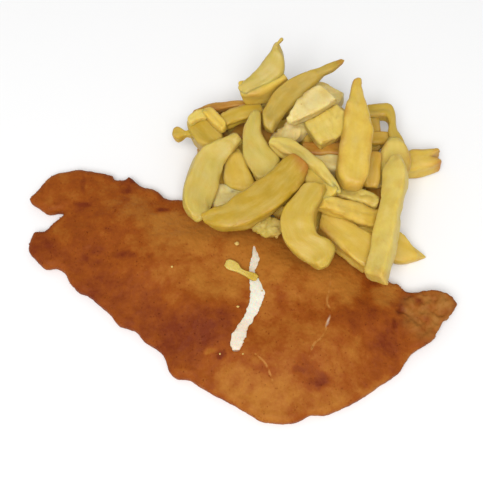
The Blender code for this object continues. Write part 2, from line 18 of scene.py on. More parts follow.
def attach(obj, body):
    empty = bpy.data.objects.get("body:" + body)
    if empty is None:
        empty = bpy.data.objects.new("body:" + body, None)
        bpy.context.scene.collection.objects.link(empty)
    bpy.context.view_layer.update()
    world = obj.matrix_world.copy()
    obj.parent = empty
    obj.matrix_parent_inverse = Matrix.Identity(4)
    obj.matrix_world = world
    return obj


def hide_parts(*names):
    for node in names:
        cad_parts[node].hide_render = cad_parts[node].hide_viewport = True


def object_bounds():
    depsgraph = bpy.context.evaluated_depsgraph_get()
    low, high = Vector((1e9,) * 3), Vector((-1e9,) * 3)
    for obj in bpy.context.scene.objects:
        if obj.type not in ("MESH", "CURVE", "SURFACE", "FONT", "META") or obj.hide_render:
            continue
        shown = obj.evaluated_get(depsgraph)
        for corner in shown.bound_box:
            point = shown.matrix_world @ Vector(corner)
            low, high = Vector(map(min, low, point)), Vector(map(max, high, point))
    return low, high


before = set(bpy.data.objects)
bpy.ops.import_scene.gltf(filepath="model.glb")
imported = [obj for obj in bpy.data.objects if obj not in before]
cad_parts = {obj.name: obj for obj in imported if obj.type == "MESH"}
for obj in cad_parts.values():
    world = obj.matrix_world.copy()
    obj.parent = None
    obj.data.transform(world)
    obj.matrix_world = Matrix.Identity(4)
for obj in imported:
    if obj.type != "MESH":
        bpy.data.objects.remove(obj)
FRAME_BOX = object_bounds()

bl_info = {
    "name": "Fish and Chips",
    "version": (1, 0, 0),
    "blender": (4, 5, 0),
    "location": "3D View > Sidebar > Fish and Chips",
    "description": "A breadcrumbed fillet and a heap of thick-cut chips, around their packed solids",
    "category": "Object",
}

MM = 0.001

# The reference picture is a square that looks down on the table from the front.
PICTURE_MIDDLE = 241.5
PICTURE_FOCAL = 950.0
PICTURE_SIDE = 483
VIEW_RISE = math.radians(62)
AIM = np.array((2.8, 2.8, 0.0)) * MM
EYE_DISTANCE = PICTURE_FOCAL * 240 * MM / 436
EYE = AIM + EYE_DISTANCE * np.array((0, -math.cos(VIEW_RISE), math.sin(VIEW_RISE)))
PIXEL = 0.53 * MM
SENSOR = 36.0

FLOOR_HALF = 6.0
LAMP_PLACE = (-0.15, -0.95, 1.5)

# The form of the fillet, as in the solids.
EDGE_MIDDLE = 3.0 * MM
EDGE_TOP = 6.5 * MM
EDGE_ROUND = 4.0 * MM
UNDER_ROUND = 2.2 * MM
SWELL = 9.0 * MM
SWELL_REACH = 34 * MM
WAVE = 0.7 * MM
HEAD_LIFT = 4.0 * MM
HEAD_STEP = 1.6 * MM
CRAG = 1.3 * MM
CRAG_REACH = 23 * MM
SOLID_PITCH = 3.6 * MM

# How far inside the fillet's rim the rings of points lie that round its top and its underside, in mm.
TOP_INSETS = (0.12, 0.4, 0.85, 1.45, 2.1, 2.75)
UNDER_INSETS = (0.12, 0.4, 0.9, 1.6, 2.4)
RIM_PITCH = 0.8 * MM

# The fillet's outline in the picture, from the tip of the upper tail lobe along the back to the head,
# then along the front and up round the lower lobe to the notch.
OUTLINE_SEEN = (
    (30, 201), (38, 192), (49, 179), (61, 174), (80, 171), (100, 174), (112, 177), (116, 181),
    (125, 181), (130, 178), (141, 187), (157, 192), (167, 200), (181, 201), (205, 204), (235, 209),
    (280, 222), (320, 236), (350, 250), (374, 268), (390, 283), (397, 285), (405, 292), (414, 293),
    (423, 291), (439, 291), (450, 297), (455, 305), (450, 313), (441, 324), (436, 334), (430, 341),
    (414, 352), (406, 362), (399, 373), (382, 385), (363, 398), (338, 411), (325, 416), (311, 416),
    (298, 422), (282, 424), (262, 422), (248, 414), (223, 400), (206, 391), (190, 381), (177, 379),
    (169, 372), (164, 358), (157, 350), (143, 341), (135, 332), (118, 325), (110, 315), (97, 304),
    (87, 296), (79, 293), (70, 284), (65, 274), (57, 269), (45, 269), (36, 261), (29, 252), (31, 241),
    (35, 233), (45, 232), (54, 224), (63, 216), (60, 213), (48, 214), (38, 208),
)
TAIL_SEEN = (31, 226)
HEAD_SEEN = (455, 305)
CRAG_SEEN = (430, 315)
PIT_SEEN = (409, 316)

# The split in the crust: points along it, and its width there in mm.
CRACK_SEEN = (
    (254, 246), (254.5, 252), (255.5, 258), (254, 264), (252, 271), (254, 281), (257, 290), (257.5, 296),
    (255.5, 303), (252.5, 310), (249, 317), (245, 323), (241, 331), (237.5, 338), (236.5, 345),
    (236.5, 350),
)
CRACK_WIDTHS = (0.9, 2.6, 4.4, 4.4, 3.2, 5.4, 6.8, 7.2, 6.6, 5.8, 5.3, 5.3, 6.1, 6.8, 6.0, 3.6)
CRACK_RAGGED = 0.1
CRACK_PITCH = 0.45 * MM
CRACK_NEAR = 60 * MM
FLESH_RIM_PITCH = 0.6 * MM
FLESH_PITCH = 0.42 * MM

# Hairline cracks, and the pale sliver in the longer one.
HAIRLINES_SEEN = (
    (
        (330, 273), (330, 287), (327, 302), (332, 313), (326, 324), (326, 330), (321, 338), (314, 344),
        (309, 356),
    ),
    ((255, 354), (265, 363), (272, 379)),
)
SLIVER_SEEN = (328, 321)
HAIRLINE_DEPTH = 0.3 * MM
HAIRLINE_STEPS = 60

# Folds and crevices where the crust doubles over at the flap, cut into the crust and darkened with painted
# shade.
CREVICES_SEEN = (
    ((410, 292), (404, 302), (400, 311), (396, 320), (394, 330)),
    ((399, 309), (408, 312), (417, 321)),
)
CREVICE_DEPTH = 1.2 * MM
CREVICE_STEPS = 40

# Darker parts, dark spots and more golden parts of the crust, some golden ones painted light: middle, half
# sizes and strength.
DARK_PATCHES = (
    (184, 334, 46, 28, 0.62), (218, 322, 16, 26, 0.5), (150, 308, 22, 16, 0.42), (365, 318, 28, 13, 0.3),
    (316, 380, 15, 10, 0.6), (128, 184, 10, 7, 0.45), (44, 250, 17, 19, 0.45), (386, 340, 17, 18, 0.5),
    (404, 300, 10, 8, 0.3), (104, 294, 38, 26, 0.5), (104, 258, 50, 22, 0.22), (72, 212, 12, 9, 0.3),
    (122, 320, 15, 10, 0.4), (384, 372, 18, 12, 0.2), (372, 356, 14, 10, 0.25),
)
SPOTS_SEEN = (
    (298, 368, 5, 4, 0.35), (82, 184, 3, 8, 0.4), (82, 205, 8, 4, 0.35), (98, 250, 7, 5, 0.35),
    (85, 258, 4, 4, 0.3), (124, 255, 12, 3, 0.35), (149, 255, 4, 2.5, 0.2), (124, 189, 7, 4, 0.4),
    (132, 181, 3, 3, 0.6), (162, 209, 6, 2.5, 0.55), (222, 357, 4, 4, 0.6), (240, 305, 4, 3, 0.3),
    (108, 230, 4, 3, 0.2), (100, 262, 5, 3, 0.25), (176, 329, 9, 4, 0.2), (207, 339, 4, 8, 0.2),
)
# More golden parts. Those along the foot of the heap are partly the crust's own gold and partly painted
# light, which lifts the shade that the heap casts on the crust there.
GOLDEN_AND_PAINTED_LIGHT_PATCHES = (
    (168, 227, 22, 14, 0.75), (170, 273, 20, 11, 0.35), (230, 277, 20, 16, 0.65),
    (272, 398, 30, 24, 0.68), (235, 379, 14, 20, 0.65), (351, 358, 18, 14, 0.2), (150, 225, 18, 12, 0.4),
    (200, 242, 28, 16, 0.6), (290, 330, 26, 20, 0.22), (211, 354, 5, 4, 0.7), (300, 280, 20, 22, 0.45),
    (376, 388, 14, 8, 0.4), (316, 402, 30, 13, 0.45), (264, 254, 46, 27, 0.9), (196, 230, 30, 16, 1.0),
    (333, 276, 26, 28, 0.9), (386, 296, 20, 12, 0.7), (212, 280, 24, 20, 0.62), (262, 292, 14, 24, 0.6),
    (249, 357, 9, 8, 0.35), (144, 205, 17, 13, 0.45), (236, 230, 18, 14, 0.85), (152, 246, 26, 12, 0.35),
    (326, 350, 12, 24, 0.35),
)
# Lumps of the crust: middle, reach in pixels and height in mm.
LUMPS_SEEN = (
    (211, 354, 6, 0.9), (232, 372, 9, 0.4), (285, 395, 16, 0.5), (355, 350, 14, 0.5),
    (150, 240, 14, 0.4),
)

# A chip as seen: both its edges in the picture from end to end, its thickness and the heights of its two
# ends in mm, its tone, how many degrees its section is turned towards the front, and how browned its two
# ends are. Those named fill, and arch_foot, only close the gaps between the others.
# The low fill chips have the brown toffee tone, partly as painted shade for the gaps that they show through.
CHIPS = {
    "pale_under_left": (
        ((205, 186), (250, 176)), ((216, 216), (263, 203)),
        9, (16.2, 16.2), "cream", 0, (0, 0),
    ),
    "fill_left": (
        ((196, 150), (196, 200)), ((222, 150), (224, 205)),
        8, (9, 9), "toffee", 0, (0, 0),
    ),
    "pale_scrap": (
        ((240, 203), (255, 208), (268, 214), (282, 222)),
        ((239, 222), (252, 232), (262, 239), (276, 242)),
        8, (29.4, 17.4), "dry", 20, (0.1, 0.4),
    ),
    "golden_inner": (
        ((231, 148), (226, 158), (221.5, 170), (221.5, 185)),
        ((238, 147), (246, 161), (254, 178), (263, 200)),
        11, (19.4, 19.4), "straw", 16, (0.1, 0.2),
    ),
    "olive_left": (
        ((199, 113), (206, 118), (217, 128), (226, 138)),
        ((187, 126), (190, 137), (198, 150), (210, 156)),
        12, (16.3, 20.3), "olive", 0, (0.1, 0.1),
    ),
    "left_nub": (
        ((172, 130), (177, 126), (182, 128), (186, 131), (190, 130), (198, 129)),
        ((173, 140), (178, 144), (183, 141), (186, 138), (190, 139), (198, 141)),
        8, (17.5, 19.5), "olive", 0, (0.3, 0),
    ),
    "grey_under": (
        ((310, 147), (352, 154)), ((306, 173), (348, 180)),
        10, (24.9, 24.9), "cream", 0, (0, 0),
    ),
    "brown_across": (
        ((302, 141), (350, 142)), ((302, 161), (350, 162)),
        9, (26.5, 26.5), "toffee", 0, (0.4, 0.4),
    ),
    "brown_edged": (
        ((192, 112), (201, 107), (216, 102), (240, 100), (262, 98)),
        ((193, 124), (202, 120), (216, 114.5), (240, 110), (262, 108)),
        10, (20.2, 22.2), "toffee", 0, (0.0, 0.6),
    ),
    "tan_behind": (
        ((219, 112), (259, 99)), ((225, 132), (265, 119)),
        8, (24.2, 24.2), "olive", 0, (0, 0),
    ),
    "left_sliver": (
        ((202, 109), (212, 107), (221, 115), (228, 125)),
        ((201, 113), (207, 121), (215, 129), (222, 134)),
        6, (25.4, 27.4), "straw", 0, (0, 0),
    ),
    "pale_back": (
        ((306, 80), (327, 83), (346, 95)), ((302, 100), (319, 105), (336, 113)),
        10, (16.2, 18.2), "cream", 0, (0, 0),
    ),
    "fill_top": (
        ((292, 88), (314, 82)), ((302, 112), (326, 104)),
        9, (22, 22), "cream", 0, (0, 0),
    ),
    "hollow_end": (
        ((268, 137), (288, 121), (306, 109)), ((284, 157), (304, 141), (320, 129)),
        10, (24.1, 27.1), "cream", 10, (0.3, 0),
    ),
    "blocky": (
        ((303, 120), (318, 112), (334, 101)), ((319, 152), (338, 144), (356, 129)),
        13, (34.0, 36.0), "pale", 15, (0.1, 0),
    ),
    "pale_wedge": (
        ((285, 119), (294, 104), (306, 91), (322, 83)), ((292, 127), (308, 122), (323, 114), (338, 104)),
        10, (39.7, 45.7), "cream", 8, (0, 0),
    ),
    "olive_behind": (
        ((240, 82), (256, 78), (270, 72), (280, 68)), ((242.5, 104), (260, 103.5), (275, 95), (289, 83)),
        12, (32.2, 37.2), "straw", 0, (0, 0),
    ),
    "top_wedge": (
        (
            (237.5, 87), (247, 75.5), (257, 65.5), (264.5, 57), (269.5, 49), (273, 43.5), (277, 41),
            (279.5, 36.5),
        ),
        (
            (246, 99), (266, 89), (281, 79), (285.5, 68), (284.5, 57), (279.5, 47.5), (280, 44.5),
            (284.5, 40),
        ),
        9, (35.4, 55.4), "dry", 14, (0.1, 0.3),
    ),
    "small_right": (
        ((379, 116), (382, 151)), ((364, 118), (368, 153)),
        7, (13.5, 9.5), "gold", 0, (0.2, 0.2),
    ),
    "arch_foot": (
        ((366, 131), (394, 133)), ((366, 150), (392, 151)),
        9, (12, 12), "gold", 0, (0, 0),
    ),
    # Its tone is straw darkened as painted shade.
    "arch_top": (
        ((362, 106), (376, 103), (390, 103), (396, 114), (398, 128), (407, 143)),
        ((362, 123), (374, 122), (384, 122), (388, 128), (387, 138), (395, 153)),
        8, (14.2, 16.2), "mellow", 0, (0.2, 0),
    ),
    "forked_right": (
        ((390, 158), (410, 150), (425, 148), (440, 148)),
        ((390, 178), (410, 179), (425, 176), (441, 169)),
        12, (6.0, 7.3), "straw", 0, (0, 0.8),
    ),
    "horn_right": (
        ((374, 214), (390, 222), (402, 230), (411, 243), (425, 255)),
        ((368, 240), (380, 256), (394, 266), (410, 266), (426, 259)),
        10, (11.5, 2.5), "straw", 20, (0, 0.3),
    ),
    "knuckle_right": (
        ((389, 137), (382, 147), (375, 160), (371, 174), (370, 188)),
        ((397, 137), (405, 146), (409, 158), (410, 172), (400, 190)),
        12, (20.7, 12.7), "pale", 0, (0.1, 0.3),
    ),
    "orange_rib": (
        ((383, 153), (380, 189)), ((367, 151), (362, 187)),
        8, (24.8, 20.8), "gold", 0, (0.4, 0.2),
    ),
    "pale_middle": (
        ((334, 182), (354, 186), (380, 194)), ((330, 202), (350, 206), (376, 212)),
        9, (23.4, 21.4), "pale", 0, (0, 0),
    ),
    "fill_low": (
        ((306, 200), (345, 206), (385, 216)), ((306, 236), (345, 240), (382, 250)),
        10, (13.5, 12), "straw", 0, (0, 0),
    ),
    "fill_right": (
        ((366, 178), (364, 240)), ((394, 182), (390, 240)),
        9, (9, 9), "toffee", 0, (0, 0),
    ),
    "low_slab": (
        ((322, 208), (342, 217), (362, 228), (382, 240)),
        ((317, 234), (337, 254), (350, 265), (364, 275)),
        12, (18.0, 16.3), "straw", 0, (0.2, 0),
    ),
    "under_slanted": (
        ((305, 151), (324, 169), (340, 191)), ((287, 169), (304, 187), (322, 207)),
        10, (31.5, 31.0), "straw", 0, (0.2, 0.1),
    ),
    "short_bar": (
        ((321, 193), (340, 196), (358, 200), (377, 207)),
        ((318.5, 212), (335, 219.5), (352, 226), (375, 235)),
        11, (33.0, 15.9), "straw", 8, (0.1, 0.1),
    ),
    # Its tone is straw darkened as painted shade.
    "fat_elbow": (
        (
            (303, 184), (291, 198), (282, 211), (279, 224), (280, 237), (285, 248), (295, 258),
            (306, 265), (318, 271),
        ),
        (
            (328, 187), (325, 198), (319.5, 208), (317, 218), (318, 228), (322, 235), (333, 239),
            (337, 249), (330, 265),
        ),
        13, (37.5, 29.5), "mellow", 14, (0.1, 0.0),
    ),
    "pale_upright": (
        ((252, 110), (245, 125), (241, 141), (243, 157), (249, 171), (256, 181)),
        ((262, 112), (262, 126), (265, 139), (275, 151), (282, 163), (270, 180)),
        10, (35.0, 29.0), "dry", 10, (0.3, 0),
    ),
    "slanted": (
        ((270, 137), (284, 136), (297, 142), (311, 152), (324, 164), (335, 178), (343, 191)),
        ((268, 146), (280, 158), (296, 165), (308, 173), (319, 182), (329, 190), (337, 195)),
        9, (37.2, 33.2), "pale", 0, (0.1, 0.1),
    ),
    "broad_left": (
        (
            (236, 130), (226, 133.5), (214, 138.5), (203, 144), (194, 151.5), (189.5, 162), (185.5, 174),
            (180.5, 187.5), (180, 199), (183, 210), (191, 219),
        ),
        (
            (244, 145), (238, 150), (232.5, 156), (228.5, 163), (225, 170), (222.5, 178.5), (220.5, 189),
            (216.5, 198), (213.5, 207), (209, 215), (200, 224),
        ),
        11, (29.1, 19.1), "dry", 24, (0.1, 0.1),
    ),
    "banana": (
        (
            (201, 211.5), (212, 207), (227, 198.5), (241, 189.5), (254, 180.5), (268, 169), (281, 156.5),
            (292, 151),
        ),
        ((205, 226), (215, 232), (230, 235), (246, 232), (262, 224), (280, 212), (299, 195), (310, 172)),
        13, (32.5, 40.5), "waxy", 14, (0, 1.0),
    ),
    "long_spear": (
        ((264, 128), (261, 112), (268, 98), (279, 87), (292, 77.5), (311, 69.5), (328, 64), (343, 58)),
        ((273, 134), (281, 123), (293, 109), (306, 96), (316, 86.5), (324, 78), (335, 72), (345, 63)),
        10, (33.9, 41.9), "khaki", 20, (0, 0.9),
    ),
    "upright": (
        (
            (353, 79), (350.5, 87), (349, 97), (345, 107), (342.5, 117), (342, 131), (339, 147),
            (336.5, 163), (336.5, 176), (343, 188),
        ),
        (
            (362.5, 78), (362.5, 88), (363.5, 98), (367, 108), (370, 118), (371.5, 131), (371, 147),
            (370, 163), (368.5, 177), (361.5, 190),
        ),
        13, (43.6, 33.6), "straw", 0, (0.6, 0.3),
    ),
    "long_right": (
        ((389, 157), (382, 171), (380, 188), (377, 208), (372, 228), (369, 248), (361, 268)),
        ((402, 156), (409, 170), (410, 188), (405, 205), (402, 228), (396, 255), (388, 289)),
        13, (27.4, 25.0), "pale", 28, (0, 0.4),
    ),
    "left_cap": (
        ((186.5, 117), (194, 111), (204, 107.5)), ((190, 127), (198, 123), (208, 121)),
        5, (25.0, 25.0), "pale", 10, (0.1, 0.1),
    ),
    "fill_back": (
        ((210, 106), (264, 100)), ((214, 146), (270, 146)),
        9, (10, 12), "toffee", 0, (0, 0),
    ),
}
# How deep a notch these chips have in their far ends.
NOTCHED = {"forked_right": 6.0 * MM, "hollow_end": 1.5 * MM}
# How crumbly the surface of broken chips is.
CRUMBLY = {
    "pale_scrap": 1.3, "blocky": 0.6, "hollow_end": 0.9, "pale_wedge": 0.4, "pale_back": 0.6,
    "pale_middle": 0.7, "short_bar": 0.3, "pale_under_left": 0.6, "low_slab": 0.15, "left_cap": 0.4,
}
ROUND_CHIPS = ("upright", "banana", "left_nub", "top_wedge")
ROUNDER = 1.6

# The chips inside the heap, in rings round its middle: how many, how far out, and how unevenly they head.
HEAP_MIDDLE = np.array((30, 51.8)) * MM
HEAP_REACH = np.array((50, 42)) * MM
BASE_RINGS = ((9, 0.8, 0.25), (5, 0.5, 0.4), (3, 0.2, 0.4))
BASE_HEIGHTS = (
    (5.1, 5.1), (11.0, 5.0), (7.9, 5.9), (15.3, 5.3), (14.6, 5.1), (9.6, 12.4), (13.9, 13.0),
    (19.3, 5.5), (13.9, 12.0), (5.7, 7.3), (12.5, 5.4), (8.4, 11.1), (9.6, 14.6), (11.9, 12.1),
    (10.3, 11.0), (21.0, 22.2), (18.4, 19.9),
)
# Least and most of their half lengths, widths, thicknesses and bows in mm, of the degrees that they are
# turned, and of how browned their ends are.
BASE_HALVES = (15, 19)
BASE_WIDTHS = (12, 15)
BASE_THICKS = (10, 12)
BASE_BOWS = (-3, 3)
BASE_TURNS = (-20, 20)
BASE_BROWNING = (0, 0.6)
BASE_STEPS = 13
BASE_PITCH = 2.2 * MM
# Their tones lean to gold and toffee, browner than the chips on top: partly painted shade for the gaps that
# they show through.
BASE_SHADE_TONES = ("straw", "gold", "gold", "toffee")

# What the random draws of each group of pieces start from.
BASE_SEED, CHIPS_SEED, SCRAP_SEED, GRIT_SEED = 7, 5, 9, 21

# How many points a chip's line gets.
CHIP_STEPS = 25

# How far above and below its middle a chip's edges are seen, as a share of half its thickness.
CORNER_SEEN = 0.7
# Chips thinner than this are less uneven.
SAG_FULL = 7.0 * MM
# How far from a chip's end its browning reaches.
BROWNED_REACH = 8.8 * MM
# Level direction that a chip's turned top faces.
TURNED_TO = (0.35, 1.0, 0.0)
# Sizes of the rings that close a chip's ends.
CAP_SHARES = (0.8, 0.55, 0.3, 0.08)
# Points on each side of a chip's section, between its corners.
SIDE_POINTS = (5, 3, 5, 3)
CORNER_POINTS = 6

# The scrap of chip across the split, and the loose crumbs: pixel and size in mm.
SCRAP_SEEN = (
    (225.5, 264.5), (230, 266), (235.5, 268.5), (240, 272), (246, 275), (252, 277.5), (257, 280),
)
SCRAP_WIDTHS = np.array((4.8, 6.0, 5.4, 3.2, 3.4, 4.8, 4.6)) * MM
SCRAP_STEPS = 21
SCRAP_THICK = 2.6 * MM
SCRAP_ABOVE = 0.3 * MM
SCRAP_TURNED = 15
SCRAP_CORNER = 0.9 * MM
SCRAP_PITCH = 0.35 * MM
CRUMBS_SEEN = (
    (237, 244, 2.3), (172, 267, 1.1), (238, 307, 1.3), (220, 354, 1.0), (262, 291, 0.9), (243, 354, 0.9),
)


def linear(hex_colour):
    """An sRGB hex colour as linear RGB."""
    shares = [int(hex_colour[k : k + 2], 16) / 255 for k in (1, 3, 5)]
    return tuple(s / 12.92 if s <= 0.04045 else ((s + 0.055) / 1.055) ** 2.4 for s in shares)


def colour(name, description, hex_colour):
    return bpy.props.FloatVectorProperty(
        name=name, description=description, subtype="COLOR", size=3, min=0, max=1,
        default=linear(hex_colour),
    )


def length(name, description, millimetres):
    return bpy.props.FloatProperty(
        name=name, description=description, subtype="DISTANCE", unit="LENGTH", min=0,
        default=millimetres * MM,
    )


class FilletSettings(bpy.types.PropertyGroup):
    """Sizes and colours of the fillet."""

    pitch: length("Mesh pitch", "How far apart the points of the crust's top are", 0.7)
    under_pitch: length("Underside pitch", "How far apart the points of the underside are", 2.2)
    inset: length("Inset", "How far the crust stays inside the solid's outline", 0.3)
    lump: length("Lumps", "Height of the slow lumps of the crust", 0.34)
    grain: length("Grain", "Height of the crumb grain", 0.14)
    crack_depth: length("Crack depth", "How deep the crust is split", 1.7)
    flesh_below: length("Flesh below crust", "How far the flesh lies under the lips of the crack", 0.35)
    grit_size: length("Loose crumbs", "Largest size of the crumbs that stand out of the crust", 0.95)
    grit_count: bpy.props.IntProperty(
        name="Crumb count", description="Crumbs that stand out of the crust", default=2600
    )
    golden: colour("Golden crust", "Where the crust is least browned", "#AC6C26")
    crust: colour("Crust", "The crust's usual brown", "#91480E")
    dark: colour("Dark crust", "Where the crust is browned most", "#722D0B")
    tan: colour("Flap", "The lighter crust at the head end", "#9E682C")
    flesh: colour("Flesh", "Cooked white fish", "#E3DDCC")


class ChipSettings(bpy.types.PropertyGroup):
    """Sizes and colours of the chips."""

    pitch: length("Mesh pitch", "How far apart the rings of a chip are", 1.04)
    corner: length("Corners", "Radius of a chip's long corners", 2.5)
    end_round: length("End rounding", "Radius where a chip's sides turn into its ends", 2.0)
    sag: length("Unevenness", "How uneven the sides of a chip are", 0.8)
    sink: length("Sunken faces", "How far the middle of a chip's faces sinks", 0.6)
    wrinkle: length("Wrinkles", "Height of the fine wrinkles along a chip", 0.15)
    crease: length("Creases", "Depth of the creases along a chip", 0.38)
    blister: length("Blisters", "Height of the blisters at a chip's ends", 0.55)
    crumble: length("Crumbling", "Height of the crumbs of broken potato", 1.1)
    # The sides brown more: partly real browning, partly painted shade on the sides that face away from the
    # light.
    side_gold_and_shade: bpy.props.FloatProperty(
        name="Golden sides", description="How much more a chip's sides brown", default=0.32
    )
    cream: colour("Cream", "Barely fried potato", "#DDCA86")
    pale: colour("Pale", "Lightly fried potato", "#D0B95C")
    straw: colour("Straw", "Fried potato", "#D5B54C")
    gold: colour("Gold", "Well fried potato", "#C7A13A")
    olive: colour("Olive", "Waxy potato", "#BEA036")
    khaki: colour("Khaki", "Dry, thin potato", "#B79B41")
    dry: colour("Dry", "Dry, lightly fried potato", "#C0AB54")
    waxy: colour("Waxy", "Waxy potato, well fried", "#B39226")
    # Straw made darker: painted shade for the chips that face the lamp most.
    mellow: colour("Mellow", "Soft potato, fried", "#C1A33D")
    toffee: colour("Toffee", "Potato fried brown", "#AE782C")
    browned: colour("Browned", "Browned ends and edges", "#AD6F22")


class StageSettings(bpy.types.PropertyGroup):
    """The floor and the light."""

    floor: colour("Floor", "Pale floor", "#F4F4F4")
    room: bpy.props.FloatProperty(
        name="Room light", description="Even light from all round", default=0.46, min=0
    )
    lamp: bpy.props.FloatProperty(
        name="Lamp", description="Power of the soft lamp, in watts", default=29.5, min=0
    )
    lamp_side: length("Lamp size", "Side of the square soft lamp", 1200)


# Places


def seen_point(across, down, height):
    """Where the sight line through a pixel of the picture passes a height. Arrays work as well."""
    rise, run = math.sin(VIEW_RISE), math.cos(VIEW_RISE)
    right = np.asarray(across, float) - PICTURE_MIDDLE
    up = PICTURE_MIDDLE - np.asarray(down, float)
    ahead = PICTURE_FOCAL * run + up * rise
    fall = PICTURE_FOCAL * rise - up * run
    reach = (EYE_DISTANCE * rise - np.asarray(height, float)) / fall
    return AIM[0] + right * reach, AIM[1] - EYE_DISTANCE * run + ahead * reach


def pixel_of(points):
    """The picture's pixel that each point shows at."""
    rise, run = math.sin(VIEW_RISE), math.cos(VIEW_RISE)
    x, y, z = (points - EYE).T
    ahead = y * run - z * rise
    up = y * rise + z * run
    across, down = PICTURE_FOCAL * x / ahead, PICTURE_FOCAL * up / ahead
    return np.column_stack((PICTURE_MIDDLE + across, PICTURE_MIDDLE - down))


def smooth_line(points, shares, closed=False):
    """Points at these shares of the way along a smooth line through the given ones."""
    points = np.asarray(points, float)
    count = len(points)
    spans = count if closed else count - 1
    at = np.clip(np.asarray(shares, float), 0, 1) * spans
    first = np.minimum(at.astype(int), spans - 1)
    t = (at - first)[:, None]
    if closed:
        before, start, end, after = (points[(first + k) % count] for k in (-1, 0, 1, 2))
    else:
        before, start, end, after = (points[np.clip(first + k, 0, count - 1)] for k in (-1, 0, 1, 2))
    leave, arrive = (end - before) / 2, (after - start) / 2
    return (
        (2 * t**3 - 3 * t**2 + 1) * start
        + (t**3 - 2 * t**2 + t) * leave
        + (3 * t**2 - 2 * t**3) * end
        + (t**3 - t**2) * arrive
    )


def fine_line(points, count):
    """This many points along a smooth line through the given ones."""
    return smooth_line(points, np.linspace(0, 1, count))


def ease(share):
    """Runs smoothly from 0 to 1 as the share does."""
    share = np.clip(share, 0, 1)
    return share * share * (3 - 2 * share)


def right_of(way):
    """Level unit vectors to the right of these directions."""
    return np.column_stack((way[:, 1], -way[:, 0])) / np.linalg.norm(way[:, :2], axis=1)[:, None]


def unit(vectors):
    return vectors / np.linalg.norm(vectors, axis=1)[:, None]


def raised(plan, heights=0.0):
    """Plan points with heights."""
    return np.column_stack((plan, np.zeros(len(plan)) + heights))


def evenly_spaced(line, pitch):
    """The closed line again, with its points this far apart."""
    steps = np.linalg.norm(np.roll(line, -1, axis=0) - line, axis=1)
    run = np.concatenate(([0], np.cumsum(steps)))
    count = round(run[-1] / pitch)
    at = np.arange(count) * run[-1] / count
    looped = np.vstack((line, line[:1]))
    return np.column_stack([np.interp(at, run, looped[:, k]) for k in (0, 1)])


def outline(pitch):
    """The fillet's outline in plan."""
    line = smooth_line(OUTLINE_SEEN, np.linspace(0, 1, 2400, endpoint=False), closed=True)
    return evenly_spaced(np.column_stack(seen_point(*line.T, EDGE_MIDDLE)), pitch)


def line_distance(points, line, closed):
    """Each point's distance to a line."""
    ends = np.roll(line, -1, axis=0) if closed else line[1:]
    starts = line if closed else line[:-1]
    way = ends - starts
    gaps = []
    for part in np.array_split(points, len(points) // 4000 + 1):
        offset = part[:, None, :] - starts[None]
        share = np.clip((offset * way).sum(2) / (way * way).sum(1), 0, 1)
        gaps.append(np.linalg.norm(offset - share[..., None] * way, axis=2).min(1))
    return np.concatenate(gaps)


def inside(points, line):
    """Whether each point is inside a closed line."""
    here, there = line, np.roll(line, -1, axis=0)
    rise = there[:, 1] - here[:, 1]
    found = []
    for part in np.array_split(points, len(points) // 4000 + 1):
        x, y = part[:, None, 0], part[:, None, 1]
        crosses = (here[:, 1] > y) != (there[:, 1] > y)
        where = here[:, 0] + (y - here[:, 1]) * (there[:, 0] - here[:, 0]) / np.where(rise == 0, 1, rise)
        found.append((crosses & (x < where)).sum(1) % 2 == 1)
    return np.concatenate(found)


def depth_inside(points, line):
    """How far inside the closed line each point is, and less than 0 outside."""
    gap = line_distance(points, line, closed=True)
    return np.where(inside(points, line), gap, -gap)


def roughness(points, size, seed):
    """Smooth noise from about -1 to 1 at each point, with features of this size."""
    shift = Vector((seed * 17.3, seed * 5.1, seed * 9.7))
    return np.array([noise.noise(Vector(p) + shift) for p in (points / size).tolist()])


def layered(points, *layers):
    """Noises added up, each given as its strength, its size in mm and its seed."""
    return sum(strength * roughness(points, size * MM, seed) for strength, size, seed in layers)


# The fillet's form


def swell_share(points, line):
    """0 at the fillet's edge and 1 in its thick middle, averaged over a ring so that no crease shows."""
    ring = 7 * MM
    total = np.zeros(len(points))
    turns = np.linspace(0, 2 * math.pi, 8, endpoint=False)
    for turn in turns:
        moved = points + ring * np.array((math.cos(turn), math.sin(turn)))
        total += np.clip(depth_inside(moved, line), 0, SWELL_REACH)
    return ease(total / len(turns) / SWELL_REACH)


def near(points, seen, reach):
    """1 at a place given by its pixel, easing to 0 at the reach."""
    middle = np.array(seen_point(*seen, EDGE_TOP))
    return ease(1 - np.linalg.norm(points - middle, axis=1) / reach)


def along_fillet(points):
    """0 at the tail and 1 at the head."""
    tail = np.array(seen_point(*TAIL_SEEN, EDGE_MIDDLE))
    head = np.array(seen_point(*HEAD_SEEN, EDGE_MIDDLE))
    way = head - tail
    return (points - tail) @ way / (way @ way)


def lift(points):
    """How far the fillet's head end curls up off the table."""
    return HEAD_LIFT * ease((along_fillet(points) - 0.86) / 0.14)


def waves(points):
    """The slow rise and fall of the fried crust."""
    x, y = points[:, 0] / MM, points[:, 1] / MM
    long_ones = np.sin(0.11 * x + 0.05 * y) + np.sin(0.16 * y - 0.07 * x + 1.3)
    return WAVE * (long_ones + 0.6 * np.sin(0.23 * x + 2.1))


def crags(points):
    """The rough flap at the head end, which lies a step lower, with a pit where it folds."""
    rough = layered(raised(points), (1.2, 6, 17), (0.7, 2.8, 18))
    flap = near(points, CRAG_SEEN, CRAG_REACH)
    return flap * (CRAG * rough - HEAD_STEP) - 2.0 * MM * near(points, PIT_SEEN, 6 * MM)


